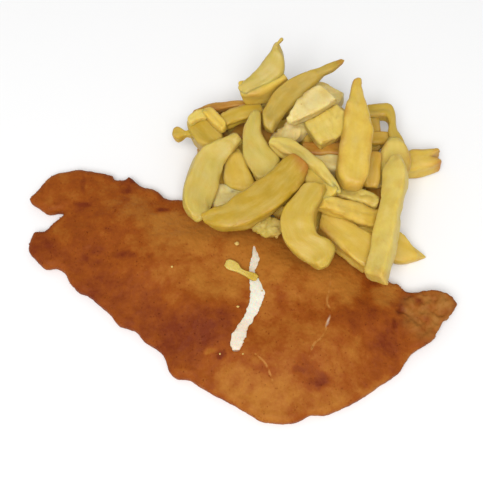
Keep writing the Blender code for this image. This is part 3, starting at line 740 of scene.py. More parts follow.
def crust_top(points, edge):
    """Height of the fillet's top, without the crack."""
    share = np.clip(depth_inside(points, edge) / EDGE_ROUND, 0, 1)
    rim = EDGE_MIDDLE + (EDGE_TOP - EDGE_MIDDLE) * np.sqrt(1 - (1 - share) ** 2)
    swollen = swell_share(points, outline(SOLID_PITCH))
    fullness = 0.45 + 0.55 * ease(along_fillet(points) / 0.4)
    relief = SWELL * fullness * swollen + swollen * waves(points) + ease(share) * crags(points)
    return rim + relief + lift(points)


def on_crust(seen):
    """Plan points of pixels on the top of the crust."""
    seen = np.asarray(seen, float)
    height = np.full(len(seen), EDGE_TOP + SWELL)
    for _ in range(3):
        plan = np.column_stack(seen_point(seen[:, 0], seen[:, 1], height))
        height = crust_top(plan, outline(SOLID_PITCH))
    return plan


def crack_outline(pitch):
    """The ragged edge of the crack in plan, down one lip and back up the other."""
    middle = on_crust(CRACK_SEEN)
    run = np.linalg.norm(np.diff(middle, axis=0), axis=1).sum()
    shares = np.linspace(0, 1, round(run / pitch))
    path = smooth_line(middle, shares)
    half = smooth_line(np.array(CRACK_WIDTHS)[:, None] * MM, shares)[:, 0] / 2
    side = right_of(np.gradient(path, axis=0))
    lips = []
    for sign, seed in ((-1, 3), (1, 4)):
        ragged = layered(raised(path), (1, 2.4, seed), (0.7, 1.0, seed + 5))
        lips.append(path + side * (sign * half * (1 + 2.2 * CRACK_RAGGED * ragged))[:, None])
    return np.vstack((lips[0], lips[1][::-1]))


def shifted_ring(line, inset):
    """Points this far inside the closed line, or outside it below 0, left out where they crowd."""
    inward = right_of(np.roll(line, -1, axis=0) - np.roll(line, 1, axis=0))
    ring = line + inward * inset
    if depth_inside(ring, line).mean() * inset < 0:
        ring = line - inward * inset
    depth = depth_inside(ring, line)
    return ring[np.abs(depth) > 0.85 * abs(inset)]


def grid_inside(line, pitch, margin):
    """A staggered grid of points that lie at least the margin inside the line."""
    low, high = line.min(0), line.max(0)
    rows = np.arange(low[1], high[1], pitch * math.sqrt(3) / 2)
    columns = np.arange(low[0], high[0], pitch)
    spots = np.array([(x + pitch / 2 * (k % 2), y) for k, y in enumerate(rows) for x in columns])
    return spots[depth_inside(spots, line) > margin]


def filled(line, spots):
    """The area inside the line as triangles over its own points and the spots, all facing up."""
    points = np.vstack((line, spots))
    loop = [(k, (k + 1) % len(line)) for k in range(len(line))]
    made = delaunay_2d_cdt([tuple(p) for p in points.tolist()], loop, [list(range(len(line)))], 1, 1e-7)
    source = np.array([found[0] for found in made[3]])
    faces = source[np.array(made[2])]
    a, b, c = (points[faces[:, k]] for k in range(3))
    up = (b[:, 0] - a[:, 0]) * (c[:, 1] - a[:, 1]) > (b[:, 1] - a[:, 1]) * (c[:, 0] - a[:, 0])
    faces[~up] = faces[~up][:, ::-1]
    return points, faces


# Meshes


def into_box(points):
    """The points, held just inside the box of the solids."""
    low, high = (np.array(corner) for corner in FRAME_BOX)
    return np.clip(points, low + 0.02 * MM, high - 0.02 * MM)


def made_mesh(name, points, faces):
    data = bpy.data.meshes.new(name)
    data.from_pydata(points.tolist(), [], [list(map(int, face)) for face in faces])
    data.shade_smooth()
    return data


def normals_of(data):
    found = np.empty(len(data.vertices) * 3)
    data.vertex_normals.foreach_get("vector", found)
    return found.reshape(-1, 3)


def set_points(data, points):
    data.vertices.foreach_set("co", np.asarray(points, float).ravel())
    data.update()


def keep_value(data, name, values):
    """Keeps one number for each point of the mesh, for its material."""
    data.attributes.new(name, "FLOAT", "POINT").data.foreach_set("value", np.asarray(values, float))


def keep_looks(data, tones, browning_and_shade, grain):
    """Keeps what the potato's material needs at each point of the mesh."""
    tones = np.column_stack((tones, np.ones(len(tones))))
    data.color_attributes.new("tone", "FLOAT_COLOR", "POINT").data.foreach_set("color", tones.ravel())
    keep_value(data, "browning_and_shade", browning_and_shade)
    data.attributes.new("grain", "FLOAT_VECTOR", "POINT").data.foreach_set("vector", grain.ravel())


def ball_form(subdivisions):
    """A ball of triangles: its points and its faces."""
    ball = bmesh.new()
    bmesh.ops.create_icosphere(ball, subdivisions=subdivisions, radius=1)
    points = np.array([v.co for v in ball.verts])
    faces = np.array([[v.index for v in f.verts] for f in ball.faces])
    ball.free()
    return points, faces


def joined(forms):
    """Several forms, each of points and faces, as one."""
    points, faces = zip(*forms)
    shifts = np.cumsum([0, *map(len, points)])
    return np.vstack(points), np.vstack([part + shift for part, shift in zip(faces, shifts)])


def finished_piece(data, material, slot_name, *nodes):
    """A piece of food that rides on the root and stands for these nodes of the solids."""
    data.materials.append(material)
    piece = bpy.data.objects.new(data.name, data)
    bpy.context.scene.collection.objects.link(piece)
    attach(piece, "root")
    if nodes:
        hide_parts(*nodes)
    return piece


# Materials

# What makes a Mix node mix colours, and its output. Its inputs are 0, the share, and 6 and 7, the colours.
COLOURS = {"data_type": "RGBA"}
MIXED = 2
SCALE_AND_ADD = {"operation": "MULTIPLY_ADD"}
# Values that the crust's mesh keeps for its material.
CRUST_VALUES = ("browning_and_shade", "pale", "flap")


def node(tree, kind, settings=None, **inputs):
    """Adds a node. An input is a value, or the output that feeds it; in_6 means the seventh socket."""
    made = tree.nodes.new("ShaderNode" + kind)
    for name, value in (settings or {}).items():
        setattr(made, name, value)
    for name, value in inputs.items():
        key = int(name[3:]) if name.startswith("in_") else name.replace("_", " ")
        if isinstance(value, bpy.types.NodeSocket):
            tree.links.new(value, made.inputs[key])
        else:
            made.inputs[key].default_value = value
    return made


def new_material(name, **sockets):
    """A material with a Principled shader whose sockets are set to these values."""
    material = bpy.data.materials.new(name)
    material.use_nodes = True
    shader = material.node_tree.nodes["Principled BSDF"]
    for socket, value in sockets.items():
        shader.inputs[socket.replace("_", " ")].default_value = value
    return material, material.node_tree, shader


def fried_breadcrumb(settings):
    """Fine breadcrumb fried on a wet batter: a dry, finely grained skin in patches from gold to dark brown,
    with a faint sheen of oil. The grain is 0.7 mm, drawn no finer: the picture shows 0.55 mm a pixel."""
    material, tree, shader = new_material(
        "fried_breadcrumb_crust", Roughness=0.6, IOR=1.46, Specular_IOR_Level=0.14, Subsurface_Weight=0.05,
        Subsurface_Scale=1.2 * MM,
    )
    shader.inputs["Subsurface Radius"].default_value = (1.0, 0.45, 0.2)
    place = node(tree, "TexCoord").outputs["Object"]
    # Besides the crust's own browning, the browning value carries painted shade in the flap's crevices and
    # pits, and painted light along the heap's foot.
    browning_and_shade, pale, flap = (
        node(tree, "Attribute", {"attribute_name": name}).outputs["Fac"] for name in CRUST_VALUES
    )
    crumb, blotch, grain = (
        node(tree, "TexNoise", Vector=place, Scale=1 / (size * MM), Detail=fine, Roughness=rough).outputs[0]
        for size, fine, rough in ((1.6, 3.0, 0.62), (6.0, 4.0, 0.6), (0.7, 2.0, 0.6))
    )
    shift = node(tree, "Math", SCALE_AND_ADD, in_0=crumb, in_1=0.4, in_2=browning_and_shade).outputs[0]
    shift = node(tree, "Math", SCALE_AND_ADD, in_0=blotch, in_1=0.6, in_2=shift).outputs[0]
    # The two noises add 0.5 to the browning on average.
    low = node(tree, "MapRange", Value=shift, From_Min=0.5, From_Max=1.0).outputs["Result"]
    high = node(tree, "MapRange", Value=shift, From_Min=1.0, From_Max=1.5).outputs["Result"]
    tone = (*settings.golden, 1)
    for share, other in (
        (low, settings.crust),
        (high, settings.dark),
        (flap, settings.tan),
        (pale, settings.flesh),
    ):
        tone = node(tree, "Mix", COLOURS, in_0=share, in_6=tone, in_7=(*other, 1)).outputs[MIXED]
    tree.links.new(tone, shader.inputs["Base Color"])
    height = node(tree, "Math", SCALE_AND_ADD, in_0=crumb, in_1=1.6, in_2=grain).outputs[0]
    bump = node(tree, "Bump", Strength=0.4, Distance=0.16 * MM, Height=height).outputs["Normal"]
    tree.links.new(bump, shader.inputs["Normal"])
    return material


def fried_potato(name, settings):
    """Potato cut in bars and deep fried: a thin, slightly oily skin over soft flesh that light enters, straw
    to gold, with browned ends and edges. Its streaks and wrinkles run along the bar, 1 to 3 mm wide."""
    material, tree, shader = new_material(
        name, Roughness=0.42, IOR=1.45, Specular_IOR_Level=0.35, Subsurface_Weight=0.5,
        Subsurface_Scale=4.0 * MM,
    )
    shader.inputs["Subsurface Radius"].default_value = (1.0, 0.7, 0.22)
    place = node(tree, "TexCoord").outputs["Object"]
    grain = node(tree, "Attribute", {"attribute_name": "grain"}).outputs["Vector"]
    tone = node(tree, "Attribute", {"attribute_name": "tone"}).outputs["Color"]
    browning_and_shade = node(tree, "Attribute", {"attribute_name": "browning_and_shade"}).outputs["Fac"]
    blotch, fleck, streak, wrinkle = (
        node(tree, "TexNoise", Vector=where, Scale=1 / (size * MM), Detail=fine, Roughness=rough).outputs[0]
        for where, size, fine, rough in (
            (place, 5.0, 4.0, 0.6),
            (place, 1.6, 3.0, 0.6),
            (grain, 3.6, 3.0, 0.5),
            (grain, 1.3, 3.0, 0.65),
        )
    )
    speck = node(tree, "TexVoronoi", Vector=place, Scale=1 / (5.0 * MM), Randomness=1.0)
    # The noise is 0.5 on average, and so browns as often as it pales.
    uneven = node(tree, "Math", SCALE_AND_ADD, in_0=fleck, in_1=0.45, in_2=-0.225).outputs[0]
    uneven = node(tree, "Math", {"operation": "ADD"}, in_0=uneven, in_1=browning_and_shade).outputs[0]
    skin = tone
    for value, low, high, most, other in (
        (blotch, 0.42, 0.72, 0.5, settings.gold),
        (streak, 0.42, 0.8, 0.3, settings.cream),
        (uneven, 0.12, 1.0, 0.9, settings.browned),
    ):
        share = node(tree, "MapRange", Value=value, From_Min=low, From_Max=high, To_Max=most).outputs[0]
        skin = node(tree, "Mix", COLOURS, in_0=share, in_6=skin, in_7=(*other, 1)).outputs[MIXED]
    few = node(tree, "SeparateColor", Color=speck.outputs["Color"]).outputs["Red"]
    few = node(tree, "Math", {"operation": "GREATER_THAN"}, in_0=few, in_1=0.8).outputs[0]
    far = speck.outputs["Distance"]
    dot = node(tree, "MapRange", Value=far, From_Min=0.09, From_Max=0.05, To_Max=0.6).outputs[0]
    dot = node(tree, "Math", {"operation": "MULTIPLY"}, in_0=few, in_1=dot).outputs[0]
    skin = node(tree, "Mix", COLOURS, in_0=dot, in_6=skin, in_7=(*settings.toffee, 1)).outputs[MIXED]
    tree.links.new(skin, shader.inputs["Base Color"])
    height = node(tree, "Math", SCALE_AND_ADD, in_0=fleck, in_1=0.6, in_2=wrinkle).outputs[0]
    bump = node(tree, "Bump", Strength=0.4, Distance=0.25 * MM, Height=height).outputs["Normal"]
    tree.links.new(bump, shader.inputs["Normal"])
    return material


def cooked_white_fish(settings):
    """Cooked cod: moist white flakes that light enters, pink and cream where the crust's fat soaked in."""
    material, tree, shader = new_material(
        "cooked_white_fish", Roughness=0.5, IOR=1.4, Subsurface_Weight=0.3, Subsurface_Scale=1.5 * MM,
    )
    place = node(tree, "TexCoord").outputs["Object"]
    flake = node(tree, "TexNoise", Vector=place, Scale=1 / (2.2 * MM), Detail=3.0, Roughness=0.6)
    flake = flake.outputs["Fac"]
    soaked = node(tree, "Attribute", {"attribute_name": "soaked"}).outputs["Fac"]
    share = node(tree, "Math", SCALE_AND_ADD, in_0=flake, in_1=0.6, in_2=soaked).outputs[0]
    share = node(tree, "MapRange", Value=share, From_Min=0.35, From_Max=1.3).outputs["Result"]
    clean, fatty = (*settings.flesh, 1), (*linear("#D9A873"), 1)
    tone = node(tree, "Mix", COLOURS, in_0=share, in_6=clean, in_7=fatty).outputs[MIXED]
    tree.links.new(tone, shader.inputs["Base Color"])
    bump = node(tree, "Bump", Strength=0.4, Distance=0.12 * MM, Height=flake).outputs["Normal"]
    tree.links.new(bump, shader.inputs["Normal"])
    return material


def matte_paper(settings):
    """Studio paper: a plain pale roll, matte, with a faint tooth."""
    material, tree, shader = new_material("studio_paper", Roughness=0.9, IOR=1.45)
    shader.inputs["Base Color"].default_value = (*settings.floor, 1)
    place = node(tree, "TexCoord").outputs["Object"]
    tooth = node(tree, "TexNoise", Vector=place, Scale=1 / (1.0 * MM), Detail=2.0).outputs["Fac"]
    bump = node(tree, "Bump", Strength=0.05, Distance=0.05 * MM, Height=tooth).outputs["Normal"]
    tree.links.new(bump, shader.inputs["Normal"])
    return material


# The fillet


def patch_share(seen, patches):
    """How much of these patches, which fade out round their edges, lies at each pixel."""
    total = np.zeros(len(seen))
    for across, down, wide, tall, strength in patches:
        out = np.hypot((seen[:, 0] - across) / wide, (seen[:, 1] - down) / tall)
        total = np.maximum(total, strength * ease(1.45 - out))
    return total


def hairline_spots():
    """Points along both sides of the hairline cracks."""
    spots = []
    for seen in HAIRLINES_SEEN:
        path = fine_line(on_crust(seen), 12 * len(seen))
        side = right_of(np.gradient(path, axis=0))
        spots += [path + side * out * MM for out in (-0.75, -0.35, 0, 0.35, 0.75)]
    return np.vstack(spots)


def crust_points(settings):
    """The crust's points in plan and its faces: the top, then the underside, which share the rim."""
    edge = outline(RIM_PITCH)
    rim = shifted_ring(edge, settings.inset)
    crack = crack_outline(CRACK_PITCH)
    lips = [shifted_ring(crack, out * MM) for out in (-0.35, 0.35)]
    lines = np.vstack([crack, *lips, hairline_spots()])
    grid = grid_inside(rim, settings.pitch, 3.2 * MM)
    close = line_distance(grid, crack, closed=True) < 0.6 * MM
    for seen in HAIRLINES_SEEN:
        close |= line_distance(grid, fine_line(on_crust(seen), 40), closed=False) < 1.0 * MM
    rings = [shifted_ring(rim, inset * MM) for inset in TOP_INSETS]
    top, top_faces = filled(rim, np.vstack(rings + [grid[~close], lines]))
    rings = [shifted_ring(rim, inset * MM) for inset in UNDER_INSETS]
    grid = grid_inside(rim, settings.under_pitch, 3.5 * MM)
    under, under_faces = filled(rim, np.vstack(rings + [grid]))
    count = len(rim)
    shift = len(top) - count
    under_faces = np.where(under_faces < count, under_faces, under_faces + shift)[:, ::-1]
    return edge, count, top, under[count:], np.vstack((top_faces, under_faces))


def flap_pits(points):
    """How far each point is into a pit of the flap, from 0 to about 1."""
    wide, small = layered(points, (1.5, 6.0, 23)), layered(points, (1.5, 2.6, 24))
    return 0.8 * ease(0.3 + wide) + 0.3 * ease(small)


def seen_gap(seen, line, count):
    """How many pixels each point shows from a line in the picture, which gets this many points."""
    return line_distance(seen, fine_line(line, count), closed=False)


def crust_heights(top, edge, count, inside_crack, settings):
    """Height of each point of the crust's top, of which the first ones, this many, are its rim."""
    heights = crust_top(top, edge)
    heights[:count] = EDGE_MIDDLE + lift(top[:count])
    heights -= settings.crack_depth * ease(inside_crack / (0.7 * MM) + 0.25)
    seen = pixel_of(raised(top, heights))
    for across, down, reach, height in LUMPS_SEEN:
        heights += height * MM * ease(1 - np.hypot(*(seen - (across, down)).T) / reach)
    for line in HAIRLINES_SEEN:
        heights -= HAIRLINE_DEPTH * ease(1 - seen_gap(seen, line, HAIRLINE_STEPS) / 1.3)
    for line in CREVICES_SEEN:
        broken = np.clip(0.5 + layered(raised(top, heights), (0.9, 4, 22)), 0.1, 1)
        heights -= CREVICE_DEPTH * broken * ease(1 - seen_gap(seen, line, CREVICE_STEPS) / 4.5)
    return heights


def crust_relief(points, settings):
    """How far the crust's skin stands out of its smooth form at each point."""
    lumps = layered(points, (1, 5.5, 1), (0.6, 2.6, 2))
    grain = layered(points, (1, 1.15, 3), (0.6, 0.6, 4))
    rough = layered(points, (0.7, 3.0, 6), (0.5, 1.5, 7)) - 0.5 * flap_pits(points)
    flap = near(points[:, :2], CRAG_SEEN, CRAG_REACH * 0.9)
    return settings.lump * lumps + settings.grain * grain + ease(1.6 * flap) * MM * rough


def crust_tones(points, inside_crack):
    """Browning with its painted shade and painted light, paleness and flap share of the crust at each point.
    """
    seen = pixel_of(points)
    wander = np.column_stack([layered(points, (9, 13, 11 + k), (4, 4, 13 + k)) for k in (0, 1)])
    wandered = seen + wander
    # The golden patches lighten the crust, along the heap's foot partly as painted light against the heap's
    # shade.
    patches = patch_share(wandered, DARK_PATCHES) - patch_share(wandered, GOLDEN_AND_PAINTED_LIGHT_PATCHES)
    browning_and_shade = 0.5 + layered(points, (0.16, 16, 8), (0.2, 6, 9)) + 0.62 * patches
    browning_and_shade += 0.8 * patch_share(seen + 0.5 * wander, SPOTS_SEEN)
    pale = ease(inside_crack / (0.5 * MM))
    broken = ease(0.45 + layered(points, (1.3, 2.6, 15)))
    for line in HAIRLINES_SEEN:
        gap = seen_gap(seen, line, HAIRLINE_STEPS)
        pale = np.maximum(pale, 0.04 * broken * ease(1.1 - gap))
        browning_and_shade -= 0.75 * broken * ease(1.4 - gap)
    # Painted shade darkens the crust along the crevices, in broken stretches.
    shaded = np.clip(0.5 + layered(points, (0.9, 3.5, 19)), 0, 1)
    for line in CREVICES_SEEN:
        browning_and_shade += 0.5 * ease(1 - seen_gap(seen, line, CREVICE_STEPS) / 5.5) * shaded
    right, down = (seen - SLIVER_SEEN).T
    gap = np.hypot((right + 0.35 * down) / 1.1, down / 5.5)
    pale = np.maximum(pale, 0.5 * ease(1.4 - gap) * (0.7 + layered(points, (0.5, 1.5, 20))))
    close = near(points[:, :2], CRAG_SEEN, CRAG_REACH)
    pits = flap_pits(points)
    # Painted shade browns the flap's pits, and less of the lighter tan shows in them.
    browning_and_shade += 0.5 * ease(2.2 * close) * pits * np.clip(0.5 + roughness(points, 7 * MM, 25), 0, 1)
    flap = ease(1.6 * close) * np.clip(0.8 + layered(points, (0.7, 5, 16)) - 0.45 * pits, 0, 1)
    return browning_and_shade, pale, np.clip(flap, 0, 1)


class FISHCHIPS_OT_crust(bpy.types.Operator):
    """Adds the fillet's breadcrumb crust, with its crack, cracks as fine as a hair, and craggy flap"""

    bl_idname = "fishchips.crust"
    bl_label = "Add Crust"

    def execute(self, context):
        settings = context.scene.fishchips_fillet
        edge, count, top, under, faces = crust_points(settings)
        crack = crack_outline(CRACK_PITCH)
        inside_crack = np.full(len(top) + len(under), -1.0)
        close = np.flatnonzero(np.abs(top - crack.mean(0)).max(1) < CRACK_NEAR)
        inside_crack[close] = depth_inside(top[close], crack)
        heights = crust_heights(top, edge, count, inside_crack[: len(top)], settings)
        round_off = np.clip(depth_inside(under, edge) / UNDER_ROUND, 0, 1)
        low = EDGE_MIDDLE * (1 - np.sqrt(1 - (1 - round_off) ** 2)) + lift(under)
        points = np.vstack((raised(top, heights), raised(under, low)))
        # The lifted head is drawn towards the front, and so shows where the picture has it.
        points[:, 1] -= lift(points[:, :2]) / math.tan(VIEW_RISE)
        data = made_mesh("fillet_crust", points, faces)
        relief = crust_relief(points, settings) * ease(1 - inside_crack / (0.4 * MM))
        points += normals_of(data) * relief[:, None]
        points[len(top) :, 2] = np.maximum(points[len(top) :, 2], 0)
        set_points(data, into_box(points))
        for name, values in zip(CRUST_VALUES, crust_tones(points, inside_crack)):
            keep_value(data, name, values)
        finished_piece(data, fried_breadcrumb(settings), "fried_crumb", "fish")
        return {"FINISHED"}


class FISHCHIPS_OT_grit(bpy.types.Operator):
    """Adds the coarser crumbs that stand out of the crust"""

    bl_idname = "fishchips.grit"
    bl_label = "Add Coarse Crumbs"

    def execute(self, context):
        settings = context.scene.fishchips_fillet
        crust = bpy.data.objects["fillet_crust"].data
        points = np.array([v.co for v in crust.vertices])
        normals = normals_of(crust)
        values = [np.array([item.value for item in crust.attributes[name].data]) for name in CRUST_VALUES]
        draw = np.random.default_rng(GRIT_SEED)
        open_skin = np.flatnonzero((values[1] < 0.05) & (points[:, 2] > EDGE_MIDDLE))
        chosen = draw.choice(open_skin, settings.grit_count, replace=False)
        form, form_faces = ball_form(1)
        size = settings.grit_size * draw.uniform(0.35, 1.0, len(chosen)) ** 1.6
        grown = []
        for spot, radius in zip(chosen, size / 2):
            shape = form * (1 + 0.35 * draw.uniform(-1, 1, (len(form), 1))) * draw.uniform(0.6, 1.0, 3)
            grown.append(points[spot] + shape * radius + normals[spot] * radius * 0.12)
        count = len(form)
        faces = (form_faces[None] + count * np.arange(len(chosen))[:, None, None]).reshape(-1, 3)
        data = made_mesh("crust_crumbs", into_box(np.vstack(grown)), faces)
        for name, value in zip(CRUST_VALUES, values):
            spread = draw.uniform(-0.25, 0.3, len(chosen)) if name == "browning_and_shade" else 0
            keep_value(data, name, np.repeat(value[chosen] + spread, count))
        finished_piece(data, bpy.data.materials["fried_breadcrumb_crust"], "fried_crumb")
        return {"FINISHED"}


class FISHCHIPS_OT_flesh(bpy.types.Operator):
    """Adds the white flesh that shows through the crack"""

    bl_idname = "fishchips.flesh"
    bl_label = "Add Flesh"

    def execute(self, context):
        settings = context.scene.fishchips_fillet
        rim = crack_outline(FLESH_RIM_PITCH)
        plan, faces = filled(rim, grid_inside(rim, FLESH_PITCH, 0.2 * MM))
        solid = outline(SOLID_PITCH)
        smooth = crust_top(plan, solid)
        flat = raised(plan, smooth)
        flakes = layered(flat, (0.22 * MM, 2.4, 31), (0.12 * MM, 0.9, 32))
        rounded = 0.35 * MM * ease(depth_inside(plan, rim) / (1.6 * MM))
        top = raised(plan, smooth - settings.flesh_below + flakes + rounded)
        low = raised(plan, smooth - settings.crack_depth - 0.5 * MM)
        count, ring = len(plan), len(rim)
        walls = []
        for k in range(ring):
            after = (k + 1) % ring
            walls += [(k, k + count, after), (after, k + count, after + count)]
        faces = np.vstack((faces, faces[:, ::-1] + count, walls))
        data = made_mesh("white_flesh", into_box(np.vstack((top, low))), faces)
        seen = pixel_of(flat)
        soaked = 0.15 * ease((277 - seen[:, 1]) / 8) + 0.25 * ease((seen[:, 1] - 310) / 16)
        soaked += 0.35 * ease(1 - depth_inside(plan, rim) / (0.6 * MM))
        keep_value(data, "soaked", np.concatenate((soaked, soaked)))
        finished_piece(data, cooked_white_fish(settings), "fried_crumb")
        return {"FINISHED"}


# The chips


def end_stations(reach, pitch, radius):
    """Distances of a chip's rings from its start, closer together where its ends turn over."""
    turn = radius * (1 - np.cos(np.linspace(0, math.pi / 2, 6)))
    middle = np.linspace(radius, reach - radius, max(2, round((reach - 2 * radius) / pitch)))
    return np.concatenate((turn[:-1], middle, reach - turn[:-1][::-1]))


def bar_section(wide, tall, corners, turned):
    """Points round a bar of these half sizes, with its own radius at each corner, turned by an angle."""
    arcs = []
    for quarter, (right, up) in enumerate(((1, 1), (-1, 1), (-1, -1), (1, -1))):
        radius = min(corners[quarter], 0.9 * min(wide, tall))
        angle = quarter * math.pi / 2 + np.linspace(0, math.pi / 2, CORNER_POINTS)
        middle = np.array((right * (wide - radius), up * (tall - radius)))
        arcs.append(middle + radius * np.column_stack((np.cos(angle), np.sin(angle))))
    points = []
    for quarter, count in enumerate(SIDE_POINTS):
        here, there = arcs[quarter][-1], arcs[(quarter + 1) % 4][0]
        points += [arcs[quarter], here + (there - here) * np.linspace(0, 1, count + 2)[1:-1, None]]
    points = np.vstack(points)
    level, tipped = math.cos(turned), math.sin(turned)
    points = np.column_stack((points @ (level, -tipped), points @ (tipped, level)))
    return points * (wide, tall) / np.abs(points).max(0)


def bar_stations(line, across, thick, pitch, end_round):
    """The stations of a chip's rings: distances from its start, middles, directions, half sizes, and how
    much smaller the rings are where its ends turn over."""
    steps = np.concatenate(([0], np.cumsum(np.linalg.norm(np.diff(line, axis=0), axis=1))))
    reach = steps[-1]
    radius = min(end_round, 0.3 * reach)
    at = end_stations(reach, pitch, radius)
    spots, side = (
        np.column_stack([np.interp(at, steps, rows[:, k]) for k in range(3)]) for rows in (line, across)
    )
    way = unit(np.gradient(spots, at, axis=0))
    wide = np.linalg.norm(side, axis=1)
    side /= wide[:, None]
    tall = np.minimum(thick / 2, wide * 1.05)
    to_end = np.minimum(at, reach - at)
    turned_over = radius - np.sqrt(np.maximum(radius**2 - (radius - to_end) ** 2, 0))
    return SimpleNamespace(
        reach=reach, at=at, spots=spots, way=way, side=side, up=unit(np.cross(side, way)),
        wide=wide, tall=tall, inset=np.where(to_end < radius, turned_over, 0),
    )


def bar_rings(bar, corner, turned, draw):
    """The points of a chip's rings and of the smaller ones that close its ends, where in the chip each point
    is, and the station of its ring."""
    rounding = np.array([corner * draw.uniform(0.7, 1.5) for _ in range(4)])
    uneven = np.column_stack([bar.at + draw.uniform(0, 1) for _ in range(4)]).ravel()
    uneven = layered(np.column_stack((uneven, uneven * 0, uneven * 0)), (1, 7, 45)).reshape(-1, 4)
    twist = math.radians(draw.uniform(-10, 10))
    lean = math.copysign(math.radians(turned), turned * (bar.side.mean(0) @ TURNED_TO))
    rings, local = [], []
    for k, spot in enumerate(bar.spots):
        wide, tall = bar.wide[k], bar.tall[k]
        shrink = min(bar.inset[k], 0.6 * min(wide, tall))
        angle = lean + twist * (bar.at[k] / bar.reach - 0.5)
        form = bar_section(wide - shrink, tall - shrink, rounding * (1 + 0.9 * uneven[k]), angle)
        rings.append(spot + form[:, :1] * bar.side[k] + form[:, 1:] * bar.up[k])
        local.append(np.column_stack((np.full(len(form), bar.at[k]), form)))
    around = len(rings[0])
    last = len(rings) - 1
    for k, place in ((0, 0.0), (last, bar.reach)):
        for share in CAP_SHARES:
            rings.append(bar.spots[k] + (rings[k] - bar.spots[k]) * share)
            local.append(np.column_stack((np.full(around, place), local[k][:, 1:] * share)))
    caps = len(CAP_SHARES)
    stations = np.repeat([*range(last + 1), *[0] * caps, *[last] * caps], around)
    return np.vstack(rings), np.vstack(local), stations


def bar_relief(points, local, stretched, reach, crumbly, settings):
    """How far a chip's skin stands out of its even form at each point."""
    bend = settings.sag * (layered(points, (1, 9, 41)) + layered(stretched, (0.6, 4, 42)))
    crease = ease(1 - np.abs(layered(stretched, (1, 5.5, 46))) / 0.13)
    bend -= settings.crease * crease * ease(0.5 + layered(points, (1.5, 10, 47)))
    blister = ease(1 - np.minimum(local[:, 0], reach - local[:, 0]) / (6 * MM))
    bend += settings.blister * blister * layered(points, (1, 2.6, 48))
    bend += settings.wrinkle * (layered(stretched, (1, 1.7, 43)) + layered(points, (0.5, 1.2, 44)))
    if crumbly:
        crumbs = np.abs(layered(points, (1, 4.2, 49))) + np.abs(layered(points, (0.6, 2.0, 50)))
        bend += crumbly * settings.crumble * (2 * crumbs - 0.7)
    return bend


def tube_faces(loops, around):
    """Triangles between neighbouring loops of this many points, and fans over the first and last loop."""
    k = np.arange(around)
    after = (k + 1) % around
    faces = []
    for here, there in zip(loops, loops[1:]):
        a, b, c, d = (here * around + k, here * around + after, there * around + after, there * around + k)
        faces += [np.column_stack((a, b, c)), np.column_stack((a, c, d))]
    for loop, turn_over in ((loops[0], True), (loops[-1], False)):
        fan = loop * around + np.array([(0, j, j + 1) for j in range(1, around - 1)])
        faces.append(fan[:, ::-1] if turn_over else fan)
    return np.vstack(faces)


def chip_surface(line, across, thick, turned, draw, settings, corner, pitch, notch=0.0, crumbly=0.0):
    """A chip along a line in space, its edges as far to each side as the vectors across it, its top turned
    towards the front. Gives its points and faces and, for each point, how browned its corners and sides are
    (the sides partly as painted shade), its distances from both ends, and its place in the grain."""
    bar = bar_stations(line, across, thick, pitch, settings.end_round * draw.uniform(0.6, 1.2))
    points, local, station = bar_rings(bar, corner, turned, draw)
    count, caps = len(bar.spots), len(CAP_SHARES)
    wide = bar.wide[station]
    points -= notched(local, bar.reach, wide, notch)[:, None] * bar.way[station]
    out = local[:, 1:2] * bar.side[station] + local[:, 2:] * bar.up[station]
    size = np.linalg.norm(out, axis=1)
    stretched = np.column_stack((local[:, 0] * 0.3, local[:, 1:])) + draw.uniform(0, 1)
    right, high = local[:, 1] / wide, local[:, 2] / bar.tall[station]
    bend = bar_relief(points, local, stretched, bar.reach, crumbly, settings)
    bend = (bend - settings.sink * face_share(right, high)) * min(1.0, thick / SAG_FULL)
    bend *= np.minimum(1, size / (2.2 * MM))
    points += out / np.maximum(size, 1e-6)[:, None] * bend[:, None]
    first, last = range(count, count + caps), range(count + caps, count + 2 * caps)
    faces = tube_faces([*reversed(first), *range(count), *last], len(points) // (count + 2 * caps))
    edges = np.clip(np.abs(right) * np.abs(high) - 0.32, 0, 1)
    # The sides brown more, partly as real browning and partly as painted shade on the sides away from the
    # light.
    edges += settings.side_gold_and_shade * ease((np.abs(right) - 0.55) / 0.4)
    return points, faces, edges, local[:, 0], bar.reach - local[:, 0], stretched


def face_share(right, high):
    """1 in the middle of a chip's face and 0 at its edges, from how far out each point is both ways."""
    flat = right**2, high**2
    return np.clip(1 - 2 * np.minimum(*flat), 0, 1) * np.clip(2 * np.maximum(*flat) - 1, 0, 1)


def notched(local, reach, wide, notch):
    """How far each point is drawn back from the chip's far end by the notch there."""
    close = np.clip(1 - (reach - local[:, 0]) / (9 * MM), 0, 1)
    middle = np.clip(1 - np.abs(local[:, 1]) / (0.62 * wide), 0, 1)
    return notch * close * middle * (0.5 + 0.5 * ease(local[:, 2] / (2 * MM) + 0.5))


